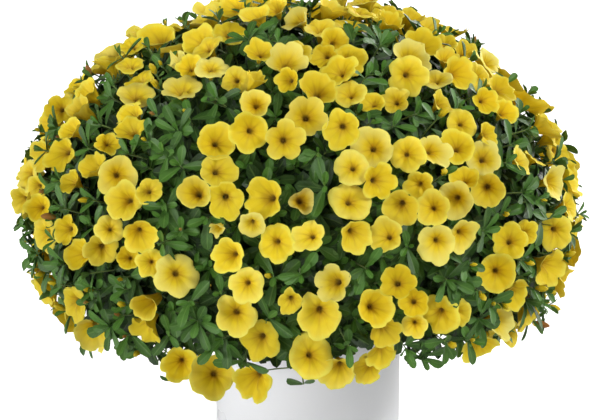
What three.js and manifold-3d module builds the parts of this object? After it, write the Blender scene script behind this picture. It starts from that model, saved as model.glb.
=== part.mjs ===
// A potted calibrachoa: a full mound of small five-lobed trumpet blooms over dark, narrow leaves, in a
// straight white cylinder pot. Millimetres, +Z up, the origin on the table under the middle of the pot.
//
// The plant is built as it grows. Leafy stems rise from the potting mix, arch over the rim and end in an
// inner cushion of foliage, with leafy shoots standing out of it. Bunches of blooms lie over the cushions.
// Neighbours in a bunch hold together where their petals meet, and a green stalk carries each bunch.
import * as THREE from "three";
import { mergeVertices } from "three/addons/utils/BufferGeometryUtils.js";
import Module from "manifold-3d";

const wasm = await Module();
wasm.setup();

// ---- Driving dimensions ------------------------------------------------------------------------------

const POT = { radius: 78, height: 190, wall: 3.5, floor: 5, edge: 1.5, sides: 36 };
const MIX = { top: 176, crown: 3, shoulder: 4, flat: 0.7, gap: 0.3, sides: 20 };
const HOLE = { depth: 18, gap: 0.35, sides: 6 }; // a stem's hole in the potting mix

// The mound is a rounded body about its own centre: reach sideways, rise above and drop below.
const MOUND = { centre: new THREE.Vector3(-11, 0, 203), reach: 235, rise: 170, drop: 156 };
const ROUNDNESS = { above: 1.85, below: 2.4 }; // 2 is an ellipse, and more is squarer
const SKIRT = -0.72; // where the foliage ends below, as a share of the drop
const FACING = { above: 0.75, below: 1.7, light: 0.12 };

// A bloom's notches, throat, tube, cup and flare are shares of its radius.
const BLOOM = { least: 9.5, notch: 0.88, throat: 0.5, tube: 1.28, cupped: -0.12, flared: 0.1 };
// Neighbours nestle at a share of their radii. The web is the petals' thickness where two rims join.
const LIE = { sink: 7, clear: 0.8, nestle: 0.93, overlap: 0.3, web: 0.9, near: 1.35 };
const SETTLE = { passes: 40, pulls: 36, reach: 14, crossings: 200, push: 0.4, shrink: 0.995 };
// Joining costs more for large bunches. The front's bunches rank above all the others.
const BUNCH = { count: 46, most: 12, stretch: 14, margin: 0.5, front: -30, rank: 100, total: 4, smaller: 8 };
// Blooms of a bunch whose rims don't meet hang together by a twig behind them, from tube to tube.
const TWIG = { radius: 1.1, at: 0.85, reach: 50, clear: 0.9, step: 3, cost: 12, weight: 1 };
const FILL = { count: 320, front: -0.36, jitter: 0.012, least: 12.5, most: 16.5, lean: 0.3 };

// The blooms of the front. Each row has the degrees round from the front to the right, the share of the
// way up, the radius, and how far the face leans to the right and upwards. The back has them again.
const STANDS = [
  [-92, 0.85, 16.6, 0.34, 0.20], [-88, 0.82, 10.0, 0.51, 0.21], [-75, 0.78, 10.7, 0.57, 0.06],
  [-87, 0.73, 13.3, 0.18, 0.03], [-94, 0.57, 10.9, 0.46, 0.06], [-92, 0.51, 10.9, 0.40, -0.05],
  [-85, 0.51, 12.5, 0.58, 0.02], [-76, 0.61, 13.1, 0.57, -0.10], [-90, 0.40, 10.9, 0.58, -0.02],
  [-76, 0.34, 12.3, 0.58, -0.02], [-65, 0.48, 10.5, 0.28, 0.03], [-63, 0.38, 13.7, 0.44, -0.17],
  [-49, 0.48, 10.3, 0.57, 0.07], [-45, 0.53, 12.7, 0.57, 0.08], [-53, 0.71, 14.4, 0.47, 0.17],
  [-37, 0.74, 15.8, 0.17, -0.12], [-51, 0.61, 11.2, 0.04, 0.10], [-51, 0.38, 14.3, 0.12, 0.56],
  [-42, 0.38, 15.7, 0.55, -0.17], [-85, 0.17, 10.0, 0.32, -0.07], [-80, -0.01, 12.4, 0.48, 0.04],
  [-68, 0.19, 9.8, 0.57, -0.07], [-63, 0.13, 11.3, 0.32, 0.28], [-55, 0.27, 10.4, 0.12, 0.22],
  [-53, 0.09, 11.9, 0.14, -0.03], [-62, -0.07, 14.5, 0.46, 0.01], [-48, -0.08, 12.7, 0.17, 0.11],
  [-41, -0.03, 13.3, 0.55, 0.16], [-39, 0.11, 10.9, 0.39, 0.25], [-31, 0.13, 14.0, 0.49, 0.03],
  [-37, 0.24, 14.8, 0.58, -0.03], [-30, 0.34, 10.9, 0.56, 0.14], [-23, -0.06, 16.2, 0.31, 0.16],
  [-30, -0.22, 15.6, 0.42, 0.12], [-53, -0.33, 14.4, 0.29, 0.12], [-50, -0.49, 14.5, 0.45, -0.37],
  [-32, -0.37, 13.3, 0.25, -0.52], [-34, 0.00, 9.3, 0.48, 0.15], [-29, -0.01, 10.9, 0.21, -0.08],
  [-55, 0.90, 14.6, 0.55, -0.19], [-87, 0.95, 13.2, 0.56, 0.16], [-96, 0.98, 13.3, 0.56, 0.14],
  [-42, 0.94, 12.9, 0.57, -0.05], [-40, 0.82, 11.2, 0.50, -0.29], [-31, 0.83, 12.7, 0.01, -0.03],
  [-20, 0.78, 11.0, 0.15, -0.39], [-15, 0.87, 11.1, 0.30, -0.01], [-2, 0.85, 15.8, 0.22, -0.15],
  [-12, 0.78, 11.0, 0.15, 0.25], [4, 0.98, 12.2, -0.25, -0.52], [16, 0.97, 13.8, -0.20, -0.54],
  [5, 0.90, 12.0, -0.08, -0.51], [13, 0.88, 11.1, -0.18, -0.49], [23, 0.92, 12.8, 0.02, -0.48],
  [23, 0.88, 12.8, -0.31, -0.45], [16, 0.84, 15.0, -0.18, -0.27], [6, 0.77, 15.7, -0.08, -0.41],
  [-1, 0.78, 10.2, -0.44, -0.38], [17, 0.78, 12.6, 0.06, -0.44], [-10, 0.67, 14.0, 0.09, -0.02],
  [-9, 0.60, 14.7, 0.12, -0.39], [1, 0.65, 16.3, 0.09, -0.23], [-3, 0.57, 15.4, 0.15, -0.47],
  [-19, 0.53, 14.7, 0.39, -0.40], [12, 0.60, 14.7, -0.08, -0.51], [90, 0.97, 13.3, -0.57, 0.10],
  [77, 0.99, 14.0, -0.58, -0.05], [-18, 0.99, 10.7, 0.19, -0.55], [-101, 0.99, 10.8, 0.56, 0.16],
  [24, 0.71, 9.4, -0.08, -0.40], [101, 0.94, 13.3, -0.53, 0.24], [107, 0.90, 11.7, -0.46, 0.35],
  [114, 0.84, 12.7, -0.57, 0.11], [112, 0.78, 12.7, -0.42, 0.33], [88, 0.84, 10.0, -0.58, 0.03],
  [92, 0.78, 10.0, -0.58, -0.04], [73, 0.81, 9.8, -0.58, 0.04], [52, 0.85, 16.1, -0.56, -0.12],
  [42, 0.78, 15.9, -0.52, -0.25], [52, 0.76, 12.8, -0.54, -0.21], [65, 0.74, 14.6, -0.58, -0.01],
  [78, 0.71, 11.5, -0.58, -0.04], [107, 0.65, 12.7, -0.47, 0.07], [74, 0.63, 13.1, -0.58, -0.05],
  [60, 0.63, 11.3, -0.57, -0.08], [65, 0.56, 11.3, -0.42, -0.24], [31, 0.71, 11.8, -0.44, -0.32],
  [45, 0.68, 10.3, -0.26, -0.04], [47, 0.56, 12.7, -0.39, -0.10], [42, 0.50, 14.2, -0.52, -0.24],
  [19, 0.52, 16.3, -0.30, -0.40], [27, 0.49, 14.0, -0.39, -0.23], [36, 0.49, 14.1, -0.50, -0.29],
  [53, 0.50, 9.6, -0.57, -0.06], [92, 0.38, 15.1, -0.54, 0.20], [49, 0.42, 14.3, -0.57, -0.11],
  [60, 0.36, 12.0, 0.11, 0.06], [67, 0.36, 9.7, -0.12, 0.51], [89, 0.26, 12.6, -0.41, -0.15],
  [88, 0.13, 10.9, -0.58, -0.00], [67, 0.20, 14.6, -0.57, 0.06], [74, 0.06, 12.3, -0.53, -0.22],
  [84, -0.09, 10.0, -0.35, 0.03], [67, -0.03, 14.6, -0.58, 0.02], [49, 0.03, 14.3, -0.57, 0.12],
  [58, 0.02, 10.4, -0.47, 0.21], [45, 0.29, 14.2, -0.56, -0.12], [42, 0.33, 11.0, -0.58, -0.03],
  [28, 0.37, 11.6, -0.40, -0.22], [17, 0.36, 13.8, -0.23, -0.11], [22, 0.28, 13.9, -0.31, -0.13],
  [30, 0.23, 13.2, -0.42, -0.07], [36, 0.26, 14.8, -0.51, 0.02], [36, 0.10, 13.3, -0.28, 0.02],
  [29, 0.06, 14.7, -0.40, 0.09], [18, 0.13, 13.0, -0.14, -0.00], [13, 0.30, 15.3, -0.18, -0.16],
  [11, 0.19, 13.0, -0.15, -0.05], [11, 0.46, 13.1, -0.15, -0.22], [2, 0.33, 16.0, -0.03, -0.19],
  [-7, 0.33, 15.3, 0.09, -0.19], [-13, 0.32, 14.5, 0.27, -0.18], [-21, 0.33, 14.6, 0.39, -0.18],
  [-16, 0.43, 13.8, 0.29, -0.07], [-13, 0.07, 13.8, 0.16, 0.06], [-4, 0.13, 14.5, 0.04, 0.01],
  [3, 0.16, 12.9, -0.04, 0.07], [-15, 0.20, 9.2, 0.21, -0.39], [-8, 0.20, 9.9, 0.10, -0.28],
  [-8, -0.06, 13.8, 0.10, 0.15], [-12, -0.24, 16.2, 0.15, 0.23], [-7, -0.39, 15.5, 0.08, 0.30],
  [-8, -0.63, 15.8, 0.11, 0.13], [-19, -0.60, 17.3, 0.28, 0.45], [-28, -0.53, 14.2, 0.42, 0.40],
  [5, -0.21, 16.9, -0.07, 0.21], [7, -0.05, 14.5, -0.09, 0.15], [-1, -0.14, 9.9, -0.10, 0.29],
  [4, -0.46, 17.1, -0.06, 0.45], [10, -0.54, 14.1, -0.03, 0.39], [15, -0.19, 15.4, -0.20, 0.21],
  [15, -0.55, 11.7, -0.21, 0.18], [18, -0.48, 12.5, -0.26, 0.25], [18, -0.32, 13.2, -0.25, 0.27],
  [20, -0.07, 13.8, -0.26, 0.27], [23, -0.19, 11.6, -0.31, 0.21], [23, -0.29, 10.1, -0.33, 0.26],
  [30, -0.29, 14.8, -0.43, 0.27], [36, -0.32, 11.8, -0.33, 0.26], [48, -0.59, 15.3, -0.56, -0.16],
  [46, -0.17, 15.1, -0.55, 0.18], [56, -0.29, 13.7, -0.54, 0.20], [56, -0.49, 14.6, -0.52, 0.25],
  [77, -0.63, 11.7, -0.24, 0.19], [66, -0.24, 15.5, -0.51, 0.27],
];

// The inner foliage lies this deep under the blooms. Each row is a band, in degrees from the top.
const CUSHION = { depth: 36, thick: 19, gap: 1.2, bump: 2.5, margin: 0.03, turn: 0.35, stemEnd: 0.6 };
const ROWS = [
  { from: 0, to: 34, cushions: 1, across: 16, down: 1, stemFoot: 0, rise: 40, fall: -30 },
  { from: 34, to: 82, cushions: 4, across: 4, down: 2, stemFoot: 27, rise: 40, fall: -30 },
  { from: 82, to: 139, cushions: 7, across: 2, down: 3, stemFoot: 52, rise: 58, fall: 60 },
];
// On the right of the front the lowest row ends higher, by up to this many degrees.
const LIFT = { most: 13, round: -50, spread: 32 };
const STEM = { radius: 3, sides: 5, steps: 7, clear: 4, hug: 0.22, extra: 3 };
const ROOTED = 13; // how deep a shoot or a stalk runs into its cushion
const STALK = { radius: 1.7, gap: 0.3, places: 24, spots: 9, clear: 0.6 };
const SHOOT = { count: 52, candidates: 1400, spacing: 50, radius: 1.9, top: 6, leaves: 6, below: 0.06 };
const SHOOT_CLEAR = { bloom: 2.8, stalk: 5, twig: 4 };

// A leaf is tried at its full lean first, and then steeper, or shorter, until it is clear.
const LEAF = { least: 18, most: 25, slender: 0.38, widest: 0.58, keel: 1.4, arch: 1.5, flattest: 78, spread: 18 };
const LEAF_TRIES = [[0, 1], [16, 1], [30, 1], [42, 0.95], [16, 0.75], [40, 0.75]];

// The first seed of each kind of draw.
const SEEDS = { front: 1000, fill: 5000, shoots: 20000, cushions: 40000 };

const GOLDEN_ANGLE = Math.PI * (3 - Math.sqrt(5));
const DEGREE = Math.PI / 180;

// ---- Seeded draws ------------------------------------------------------------------------------------

// The minimal standard generator, so that the same seed gives the same plant in any language.
function draws(seed) {
  let state = (seed * 7919 + 12345) % 2147483647;
  const next = () => (state = (state * 48271) % 2147483647) / 2147483647;
  next();
  next();
  return { between: (low, high) => low + (high - low) * next(), below: (n) => Math.floor(n * next()) };
}

// ---- The mound's surface -----------------------------------------------------------------------------

// A unit vector from the share of the way up (1 is the top, -1 the bottom) and the angle round.
function direction(up, round) {
  const flat = Math.sqrt(1 - up * up);
  return new THREE.Vector3(flat * Math.cos(round), flat * Math.sin(round), up);
}

// How far up a point lies, in the same share as direction takes.
function upShare(point) {
  const p = point.clone().sub(MOUND.centre);
  const high = p.z / (p.z > 0 ? MOUND.rise : MOUND.drop);
  return high / Math.hypot(high, Math.hypot(p.x, p.y) / MOUND.reach);
}

// The distance from the mound's centre to its surface along a ray, with soft swells round the sides.
function reachAlong(ray) {
  const power = ray.z > 0 ? ROUNDNESS.above : ROUNDNESS.below;
  const high = Math.abs(ray.z) / (ray.z > 0 ? MOUND.rise : MOUND.drop);
  const flat = Math.hypot(ray.x, ray.y) / MOUND.reach;
  const round = Math.atan2(ray.y, ray.x);
  const swell = 1 + 0.02 * Math.sin(3 * round + 0.6) + 0.018 * Math.sin(5 * round + 4 * ray.z + 2.2);
  return swell * (high ** power + flat ** power) ** (-1 / power);
}

// The surface point nearest along the ray through a given point, sunk by depth.
function onMound(point, depth) {
  const ray = point.clone().sub(MOUND.centre).normalize();
  return ray.multiplyScalar(reachAlong(ray) - depth).add(MOUND.centre);
}

// The surface point for a unit direction of the round ball that the mound is stretched from.
function mounded(unit, depth) {
  const rise = unit.z > 0 ? MOUND.rise : MOUND.drop;
  const stretched = new THREE.Vector3(unit.x * MOUND.reach, unit.y * MOUND.reach, unit.z * rise);
  return onMound(stretched.add(MOUND.centre), depth);
}

// The way a bloom faces: outwards, turned a little to the light, and leaning to its right and upwards.
function facingAt(point, right, upwards) {
  const out = point.clone().sub(MOUND.centre);
  out.z /= out.z > 0 ? FACING.above : FACING.below;
  out.normalize().add(new THREE.Vector3(0, 0, FACING.light)).normalize();
  const side = new THREE.Vector3(0, 0, 1).cross(out).normalize();
  const above = out.clone().cross(side);
  return out.addScaledVector(side, right).addScaledVector(above, upwards).normalize();
}

// ---- Blooms: where each one stands -------------------------------------------------------------------

const RIM = 10; // a lobe's tip and a notch in turn, counter-clockwise from the front
const LINKS = 5; // the rim's edges that may join a neighbour: every second one

function bloomAt(unit, [radius, right, upwards], draw) {
  const sink = draw.between(0, LIE.sink);
  const centre = mounded(unit, sink);
  const facing = facingAt(centre, right, upwards);
  const across = new THREE.Vector3(0, 0, 1).cross(facing).normalize();
  const cup = draw.between(BLOOM.cupped, BLOOM.flared);
  return { centre, facing, across, radius, cup, sink, joined: new Array(LINKS).fill(false) };
}

function rimPoint(bloom, i) {
  const angle = (i * 2 * Math.PI) / RIM;
  const side = new THREE.Vector3().crossVectors(bloom.facing, bloom.across);
  const out = bloom.radius * (i % 2 ? BLOOM.notch : 1);
  return bloom.centre
    .clone()
    .addScaledVector(bloom.across, out * Math.cos(angle))
    .addScaledVector(side, out * Math.sin(angle))
    .addScaledVector(bloom.facing, i % 2 ? 0 : bloom.cup * bloom.radius);
}

// The point on a bloom's axis that lies behind its rim by a share of its radius.
function behind(bloom, share) {
  return bloom.centre.clone().addScaledVector(bloom.facing, -share * bloom.radius);
}

// True where a point lies inside the full cone from a bloom's rim to its root, or within margin of it.
function insideBloom(point, bloom, margin) {
  const from = point.clone().sub(bloom.centre);
  const depth = -from.dot(bloom.facing);
  const length = BLOOM.tube * bloom.radius;
  if (depth < -margin - Math.max(0, bloom.cup * bloom.radius) || depth > length + margin) return false;
  const out = Math.sqrt(Math.max(0, from.lengthSq() - depth * depth));
  return out < bloom.radius * (1 - Math.max(0, depth) / length) + margin;
}

// Points on a bloom's back, and round its rim where that counts too.
function outlinePoints(bloom, withRim) {
  const root = behind(bloom, BLOOM.tube);
  const points = [root];
  for (let i = 0; i < RIM; i++) {
    const rim = rimPoint(bloom, i);
    points.push(rim.clone().lerp(root, 0.35), rim.clone().lerp(root, 0.7));
    if (withRim) points.push(rim, rim.clone().lerp(rimPoint(bloom, (i + 1) % RIM), 0.5));
  }
  return points;
}

function bloomsCross(a, b, margin, withRims) {
  if (a.centre.distanceTo(b.centre) > (a.radius + b.radius) * LIE.near) return false;
  return (
    outlinePoints(a, withRims).some((p) => insideBloom(p, b, margin)) ||
    outlinePoints(b, withRims).some((p) => insideBloom(p, a, margin))
  );
}

// The front's blooms, and as many again on the sides and the back, along a spiral from the top down.
function standingBlooms() {
  const front = STANDS.map(([round, up, ...lie], k) =>
    bloomAt(direction(up, (round - 90) * DEGREE), lie, draws(SEEDS.front + k)),
  );
  const others = Array.from({ length: FILL.count }, (_, k) => {
    const draw = draws(SEEDS.fill + k);
    const up = 1 - ((k + 0.5) / FILL.count) * (1 - SKIRT) + draw.between(-FILL.jitter, FILL.jitter);
    const unit = direction(Math.min(up, 1), k * GOLDEN_ANGLE + draw.between(-FILL.jitter, FILL.jitter));
    const lean = () => draw.between(-FILL.lean, FILL.lean);
    return { unit, bloom: bloomAt(unit, [draw.between(FILL.least, FILL.most), lean(), lean()], draw) };
  })
    .filter(({ unit, bloom }) => {
      const room = Math.min(...front.map((b) => gapBetween(b, bloom)));
      return unit.y > FILL.front && room > -LIE.overlap * bloom.radius;
    })
    .map(({ bloom }) => bloom);
  return [...front, ...others];
}

// Moves two blooms apart along the mound.
function pushApart(a, b, by) {
  const away = a.centre.clone().sub(b.centre).normalize();
  a.centre.copy(onMound(a.centre.clone().addScaledVector(away, by), a.sink));
  b.centre.copy(onMound(b.centre.clone().addScaledVector(away, -by), b.sink));
}

function closePairs(blooms) {
  return blooms.flatMap((a, i) =>
    blooms
      .slice(0, i)
      .filter((b) => a.centre.distanceTo(b.centre) < (a.radius + b.radius) * LIE.near)
      .map((b) => [a, b]),
  );
}

// How far two rims are from where they just meet.
function gapBetween(a, b) {
  return a.centre.distanceTo(b.centre) - LIE.nestle * (a.radius + b.radius);
}

// Turns a bloom so that the middles of its joinable edges lie towards its neighbours as nearly as they can.
function turnToNeighbours(bloom, others) {
  const side = new THREE.Vector3().crossVectors(bloom.facing, bloom.across);
  let [x, y] = [0, 0];
  for (const other of others) {
    const away = other.centre.clone().sub(bloom.centre);
    const angle = Math.atan2(away.dot(side), away.dot(bloom.across));
    x += Math.cos(LINKS * angle);
    y += Math.sin(LINKS * angle);
  }
  bloom.across.applyAxisAngle(bloom.facing, Math.atan2(y, x) / LINKS - Math.PI / RIM);
}

function spreadOut(blooms) {
  for (const [a, b] of closePairs(blooms)) if (gapBetween(a, b) < 0) pushApart(a, b, -gapBetween(a, b) / 4);
}

// Blooms that stand too close give way, those that stand nearly close enough come together, and all of
// them turn to their neighbours. What still crosses moves apart and shrinks until no petal meets another.
function settle(blooms) {
  for (let pass = 0; pass < SETTLE.passes; pass++) spreadOut(blooms);
  for (let pass = 0; pass < SETTLE.pulls; pass++) {
    for (const bloom of blooms) {
      const gaps = blooms
        .filter((other) => other !== bloom)
        .map((other) => ({ other, gap: gapBetween(bloom, other) }))
        .sort((a, b) => a.gap - b.gap);
      const [first, second] = gaps;
      const pull = ({ other, gap }, reach, share) => {
        if (gap > 0 && gap < reach) pushApart(bloom, other, -Math.min(gap, 1) * share);
      };
      pull(first, SETTLE.reach, 1 / 2);
      pull(second, SETTLE.reach / 2, 1 / 4);
    }
    spreadOut(blooms);
  }
  const pairs = closePairs(blooms);
  for (const bloom of blooms) {
    const near = pairs.filter((pair) => pair.includes(bloom)).map(([a, b]) => (a === bloom ? b : a));
    turnToNeighbours(bloom, near);
  }
  for (let pass = 0; pass < SETTLE.crossings; pass++) {
    const crossed = closePairs(blooms).filter(([a, b]) => bloomsCross(a, b, LIE.clear, true));
    if (crossed.length === 0) break;
    for (const [a, b] of crossed) {
      pushApart(a, b, SETTLE.push);
      for (const bloom of [a, b]) bloom.radius = Math.max(BLOOM.least, bloom.radius * SETTLE.shrink);
    }
  }
  return blooms;
}

// The best way to join two blooms: the two edges whose corners lie closest together.
function tieBetween(a, b) {
  let best = { stretch: Infinity };
  for (let i = 0; i < LINKS; i++) {
    for (let j = 0; j < LINKS; j++) {
      const first = rimPoint(a, 2 * i).distanceTo(rimPoint(b, 2 * j + 1));
      const second = rimPoint(a, 2 * i + 1).distanceTo(rimPoint(b, 2 * j));
      const stretch = Math.max(first, second);
      if (stretch < best.stretch) best = { stretch, a, b, i, j };
    }
  }
  return best;
}

// True where the corners that a tie moves stay clear of every other bloom.
function tieIsClear({ a, b, i, j }, blooms) {
  const meets = [[2 * i, 2 * j + 1], [2 * i + 1, 2 * j]].map(([mine, its]) =>
    rimPoint(a, mine).lerp(rimPoint(b, its), 0.5),
  );
  const points = meets.flatMap((p) =>
    [a, b].flatMap((bloom) => [p, ...[0.35, 0.7].map((share) => p.clone().lerp(behind(bloom, BLOOM.tube), share))]),
  );
  const others = blooms.filter((o) => o !== a && o !== b);
  return !points.some((p) => others.some((o) => insideBloom(p, o, BUNCH.margin)));
}

function twigBetween(a, b) {
  const line = new THREE.Line3(behind(a, TWIG.at), behind(b, TWIG.at));
  const count = Math.ceil(line.distance() / TWIG.step);
  const spots = Array.from({ length: count + 1 }, (_, k) => line.at(k / count, new THREE.Vector3()));
  return { a, b, line, spots, stretch: TWIG.cost + TWIG.weight * line.distance() };
}

const nearLine = (line, p) => line.closestPointToPoint(p, true, new THREE.Vector3()).distanceTo(p);

function twigIsClear({ a, b, spots }, blooms) {
  const others = blooms.filter((o) => o !== a && o !== b);
  return !spots.some((p) => others.some((o) => insideBloom(p, o, TWIG.radius + TWIG.clear)));
}

function twigsMeet(one, other) {
  if (one.a === other.a || one.b === other.b || one.a === other.b || one.b === other.a) return false;
  return one.spots.some((p) => nearLine(other.line, p) < 2 * TWIG.radius + TWIG.clear);
}

// Groups the blooms in bunches. The smallest bunch in turn joins a neighbour, until few enough are left.
function joinBunches(blooms) {
  const bunches = new Set(blooms.map((bloom) => (bloom.bunch = { blooms: [bloom], ties: [] })));
  const ties = closePairs(blooms)
    .map(([a, b]) => tieBetween(a, b))
    .filter((tie) => tie.stretch < BUNCH.stretch && tieIsClear(tie, blooms));
  const twigs = blooms
    .flatMap((a, i) => blooms.slice(0, i).map((b) => [a, b]))
    .filter(([a, b]) => a.centre.distanceTo(b.centre) < TWIG.reach)
    .map(([a, b]) => twigBetween(a, b))
    .filter((twig) => twigIsClear(twig, blooms));
  const used = [];
  while (bunches.size > BUNCH.count) {
    let best = { cost: Infinity };
    for (const tie of [...ties, ...twigs]) {
      const [mine, its] = [tie.a.bunch, tie.b.bunch];
      const total = mine.blooms.length + its.blooms.length;
      if (mine === its || total > BUNCH.most) continue;
      if (tie.line ? used.some((other) => twigsMeet(tie, other)) : tie.a.joined[tie.i] || tie.b.joined[tie.j]) continue;
      const smaller = Math.min(mine.blooms.length, its.blooms.length);
      const cost = total * BUNCH.total + smaller * BUNCH.smaller + tie.stretch;
      if (cost < best.cost) best = { cost, tie, mine, its };
    }
    if (best.cost === Infinity) {
      // What can't be joined is left out, the smallest first, and on the front last of all.
      const isFront = (bunch) => bunch.blooms[0].centre.y < BUNCH.front;
      const rank = (bunch) => bunch.blooms.length + (isFront(bunch) ? BUNCH.rank : 0);
      bunches.delete([...bunches].reduce((a, b) => (rank(b) < rank(a) ? b : a)));
      continue;
    }
    const { tie, mine, its } = best;
    if (tie.line) used.push(tie);
    else tie.a.joined[tie.i] = tie.b.joined[tie.j] = true;
    for (const bloom of its.blooms) bloom.bunch = mine;
    mine.blooms.push(...its.blooms);
    mine.ties.push(tie, ...its.ties);
    bunches.delete(its);
  }
  return [...bunches];
}

// ---- Leafy shoots: where each leaf stands ------------------------------------------------------------

// Points down a leaf, each with the half width that has to stay clear there.
function leafSpots(leaf) {
  return [0.3, 0.5, 0.7, 0.85, 1].map((share) => ({
    at: leaf.root.clone().addScaledVector(leaf.along, share * leaf.length),
    wide: leaf.length * LEAF.slender * 0.5 * (share > 0.9 ? 0.25 : 0.9),
  }));
}

function leafIsClear(leaf, blooms, leaves, stalks, twigs) {
  const spots = leafSpots(leaf);
  const nearTwig = (s) => twigs.some((t) => nearLine(t.line, s.at) < s.wide + TWIG.radius + TWIG.clear);
  if (spots.some(nearTwig)) return false;
  if (spots.some((s) => blooms.some((b) => insideBloom(s.at, b, 1 + 0.5 * s.wide)))) return false;
  if (spots.some((s) => stalks.some((t) => t.near(s.at) < s.wide + STALK.radius + 0.5))) return false;
  return !leaves.some((other) => {
    if (other.root.distanceTo(leaf.root) > other.length + leaf.length) return false;
    // Leaves of one shoot come together at their roots, so only their outer halves have to be clear.
    const first = other.shoot === leaf.shoot ? 1 : 0;
    const outer = leafSpots(other).slice(first);
    return outer.some((o) => spots.slice(first).some((s) => s.at.distanceTo(o.at) < s.wide + o.wide + 0.6));
  });
}

// The places for shoots: the widest gaps between blooms first, and never two close together.
function shootPlaces(blooms, stalks, twigs) {
  const places = [];
  for (let k = 0; k < SHOOT.candidates; k++) {
    const up = 1 - ((k + 0.5) / SHOOT.candidates) * (1 - SKIRT + SHOOT.below);
    const base = mounded(direction(up, k * GOLDEN_ANGLE), CUSHION.depth);
    const top = onMound(base, SHOOT.top);
    const room = Math.min(...blooms.map((b) => b.centre.distanceTo(top) - b.radius));
    const axis = [0, 0.25, 0.5, 0.75, 1].map((share) => base.clone().lerp(top, share));
    const meetsBloom = (p) => blooms.some((b) => insideBloom(p, b, SHOOT_CLEAR.bloom));
    const meetsStalk = (p) => stalks.some((t) => t.near(p) < SHOOT_CLEAR.stalk);
    const meetsTwig = (p) => twigs.some((t) => nearLine(t.line, p) < SHOOT_CLEAR.twig);
    const free = !axis.some((p) => meetsBloom(p) || meetsStalk(p) || meetsTwig(p));
    if (free) places.push({ base, top, room, k });
  }
  places.sort((a, b) => b.room - a.room || a.k - b.k);
  const chosen = [];
  for (const place of places) {
    if (chosen.length === SHOOT.count) break;
    if (cushionOf(place.base) === null) continue;
    if (chosen.every((c) => c.top.distanceTo(place.top) > SHOOT.spacing)) chosen.push(place);
  }
  return chosen;
}

// The leaves fan out evenly round a shoot's tip. One that would meet a bloom stands up or is shorter.
function growShoots(blooms, stalks, twigs) {
  const grown = [];
  const shoots = shootPlaces(blooms, stalks, twigs);
  shoots.forEach((shoot, s) => {
    const draw = draws(SEEDS.shoots + s);
    const start = draw.between(0, 2 * Math.PI);
    shoot.axis = shoot.top.clone().sub(shoot.base).normalize();
    const side = new THREE.Vector3(0, 0, 1).cross(shoot.axis).normalize();
    shoot.leaves = [];
    for (let j = 0; j < SHOOT.leaves; j++) {
      const turn = start + ((j + draw.between(-0.12, 0.12)) * 2 * Math.PI) / SHOOT.leaves;
      const around = side.clone().applyAxisAngle(shoot.axis, turn);
      const length = draw.between(LEAF.least, LEAF.most);
      const lean = draw.between(LEAF.flattest - LEAF.spread, LEAF.flattest);
      for (const [stand, shorten] of LEAF_TRIES) {
        const angle = (lean - stand) * DEGREE;
        const along = shoot.axis.clone().multiplyScalar(Math.cos(angle));
        along.addScaledVector(around, Math.sin(angle));
        const leaf = { shoot, root: shoot.top, along, around, length: length * shorten };
        if (!leafIsClear(leaf, blooms, grown, stalks, twigs)) continue;
        shoot.leaves.push(leaf);
        grown.push(leaf);
        break;
      }
    }
  });
  return shoots.filter((shoot) => shoot.leaves.length >= 3);
}

// ---- Cushions: the patches of inner foliage that the leafy stems carry ---------------------------------

const CUSHIONS = ROWS.flatMap((row, r) =>
  Array.from({ length: row.cushions }, (_, i) => {
    const turn = (2 * Math.PI) / row.cushions;
    const start = i * turn + CUSHION.turn * r;
    return { row, r, i, turn, start, middle: start + turn / 2 };
  }),
);

// Where a row ends below, in radians from the top.
function rowEnd({ to, fall }, round) {
  if (fall < 0) return to * DEGREE;
  const off = Math.atan2(Math.sin(round - LIFT.round * DEGREE), Math.cos(round - LIFT.round * DEGREE));
  return (to - LIFT.most * Math.exp(-((off / DEGREE / LIFT.spread) ** 2))) * DEGREE;
}

// The cushion under a point, or null where the point is close to a cushion's edge.
function cushionOf(point) {
  const polar = Math.acos(upShare(point));
  const round = Math.atan2(point.y - MOUND.centre.y, point.x - MOUND.centre.x);
  const side = CUSHION.margin / Math.sin(polar);
  const found = CUSHIONS.find(({ row, r, turn, start }) => {
    const low = r === 0 ? -1 : row.from * DEGREE + CUSHION.margin;
    if (polar < low || polar > rowEnd(row, round) - CUSHION.margin) return false;
    const past = (((round - start) % (2 * Math.PI)) + 2 * Math.PI) % (2 * Math.PI);
    return row.cushions === 1 || (past > side && past < turn - side);
  });
  return found ?? null;
}

// ---- Stalks: what carries each bunch -------------------------------------------------------------------

// A stalk rises from the cushion under a bunch's first bloom, and ends just short of it.
function stalkUnder(bloom) {
  const root = behind(bloom, BLOOM.tube);
  const places = Array.from({ length: STALK.places }, (_, k) =>
    root.clone().addScaledVector(bloom.across.clone().applyAxisAngle(bloom.facing, k), k),
  );
  const over = places.find((p) => cushionOf(onMound(p, CUSHION.depth)) !== null);
  const foot = onMound(over, CUSHION.depth + ROOTED);
  const axis = root.clone().sub(foot).normalize();
  const end = root.clone().addScaledVector(axis, -STALK.gap);
  const line = new THREE.Line3(foot, end);
  const near = (p) => nearLine(line, p);
  return { foot, end, axis, near, cushion: cushionOf(onMound(over, CUSHION.depth)) };
}

// The stalk of a bunch stands under the bloom where it keeps clearest of all the others.
function clearStalk(bunch, blooms, twigs) {
  const apart = STALK.radius + TWIG.radius + STALK.clear;
  const tried = bunch.blooms.map((bloom) => {
    const stalk = stalkUnder(bloom);
    const spots = Array.from({ length: STALK.spots }, (_, k) =>
      stalk.foot.clone().lerp(stalk.end, (k + 1) / STALK.spots),
    );
    const others = blooms.filter((b) => b !== bloom);
    const meets = (p) => others.some((b) => insideBloom(p, b, STALK.radius + STALK.clear));
    const hits = spots.filter((p) => meets(p) || twigs.some((t) => nearLine(t.line, p) < apart)).length;
    return { stalk, hits };
  });
  return tried.reduce((a, b) => (b.hits < a.hits ? b : a)).stalk;
}

// ---- Solids --------------------------------------------------------------------------------------------

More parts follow.
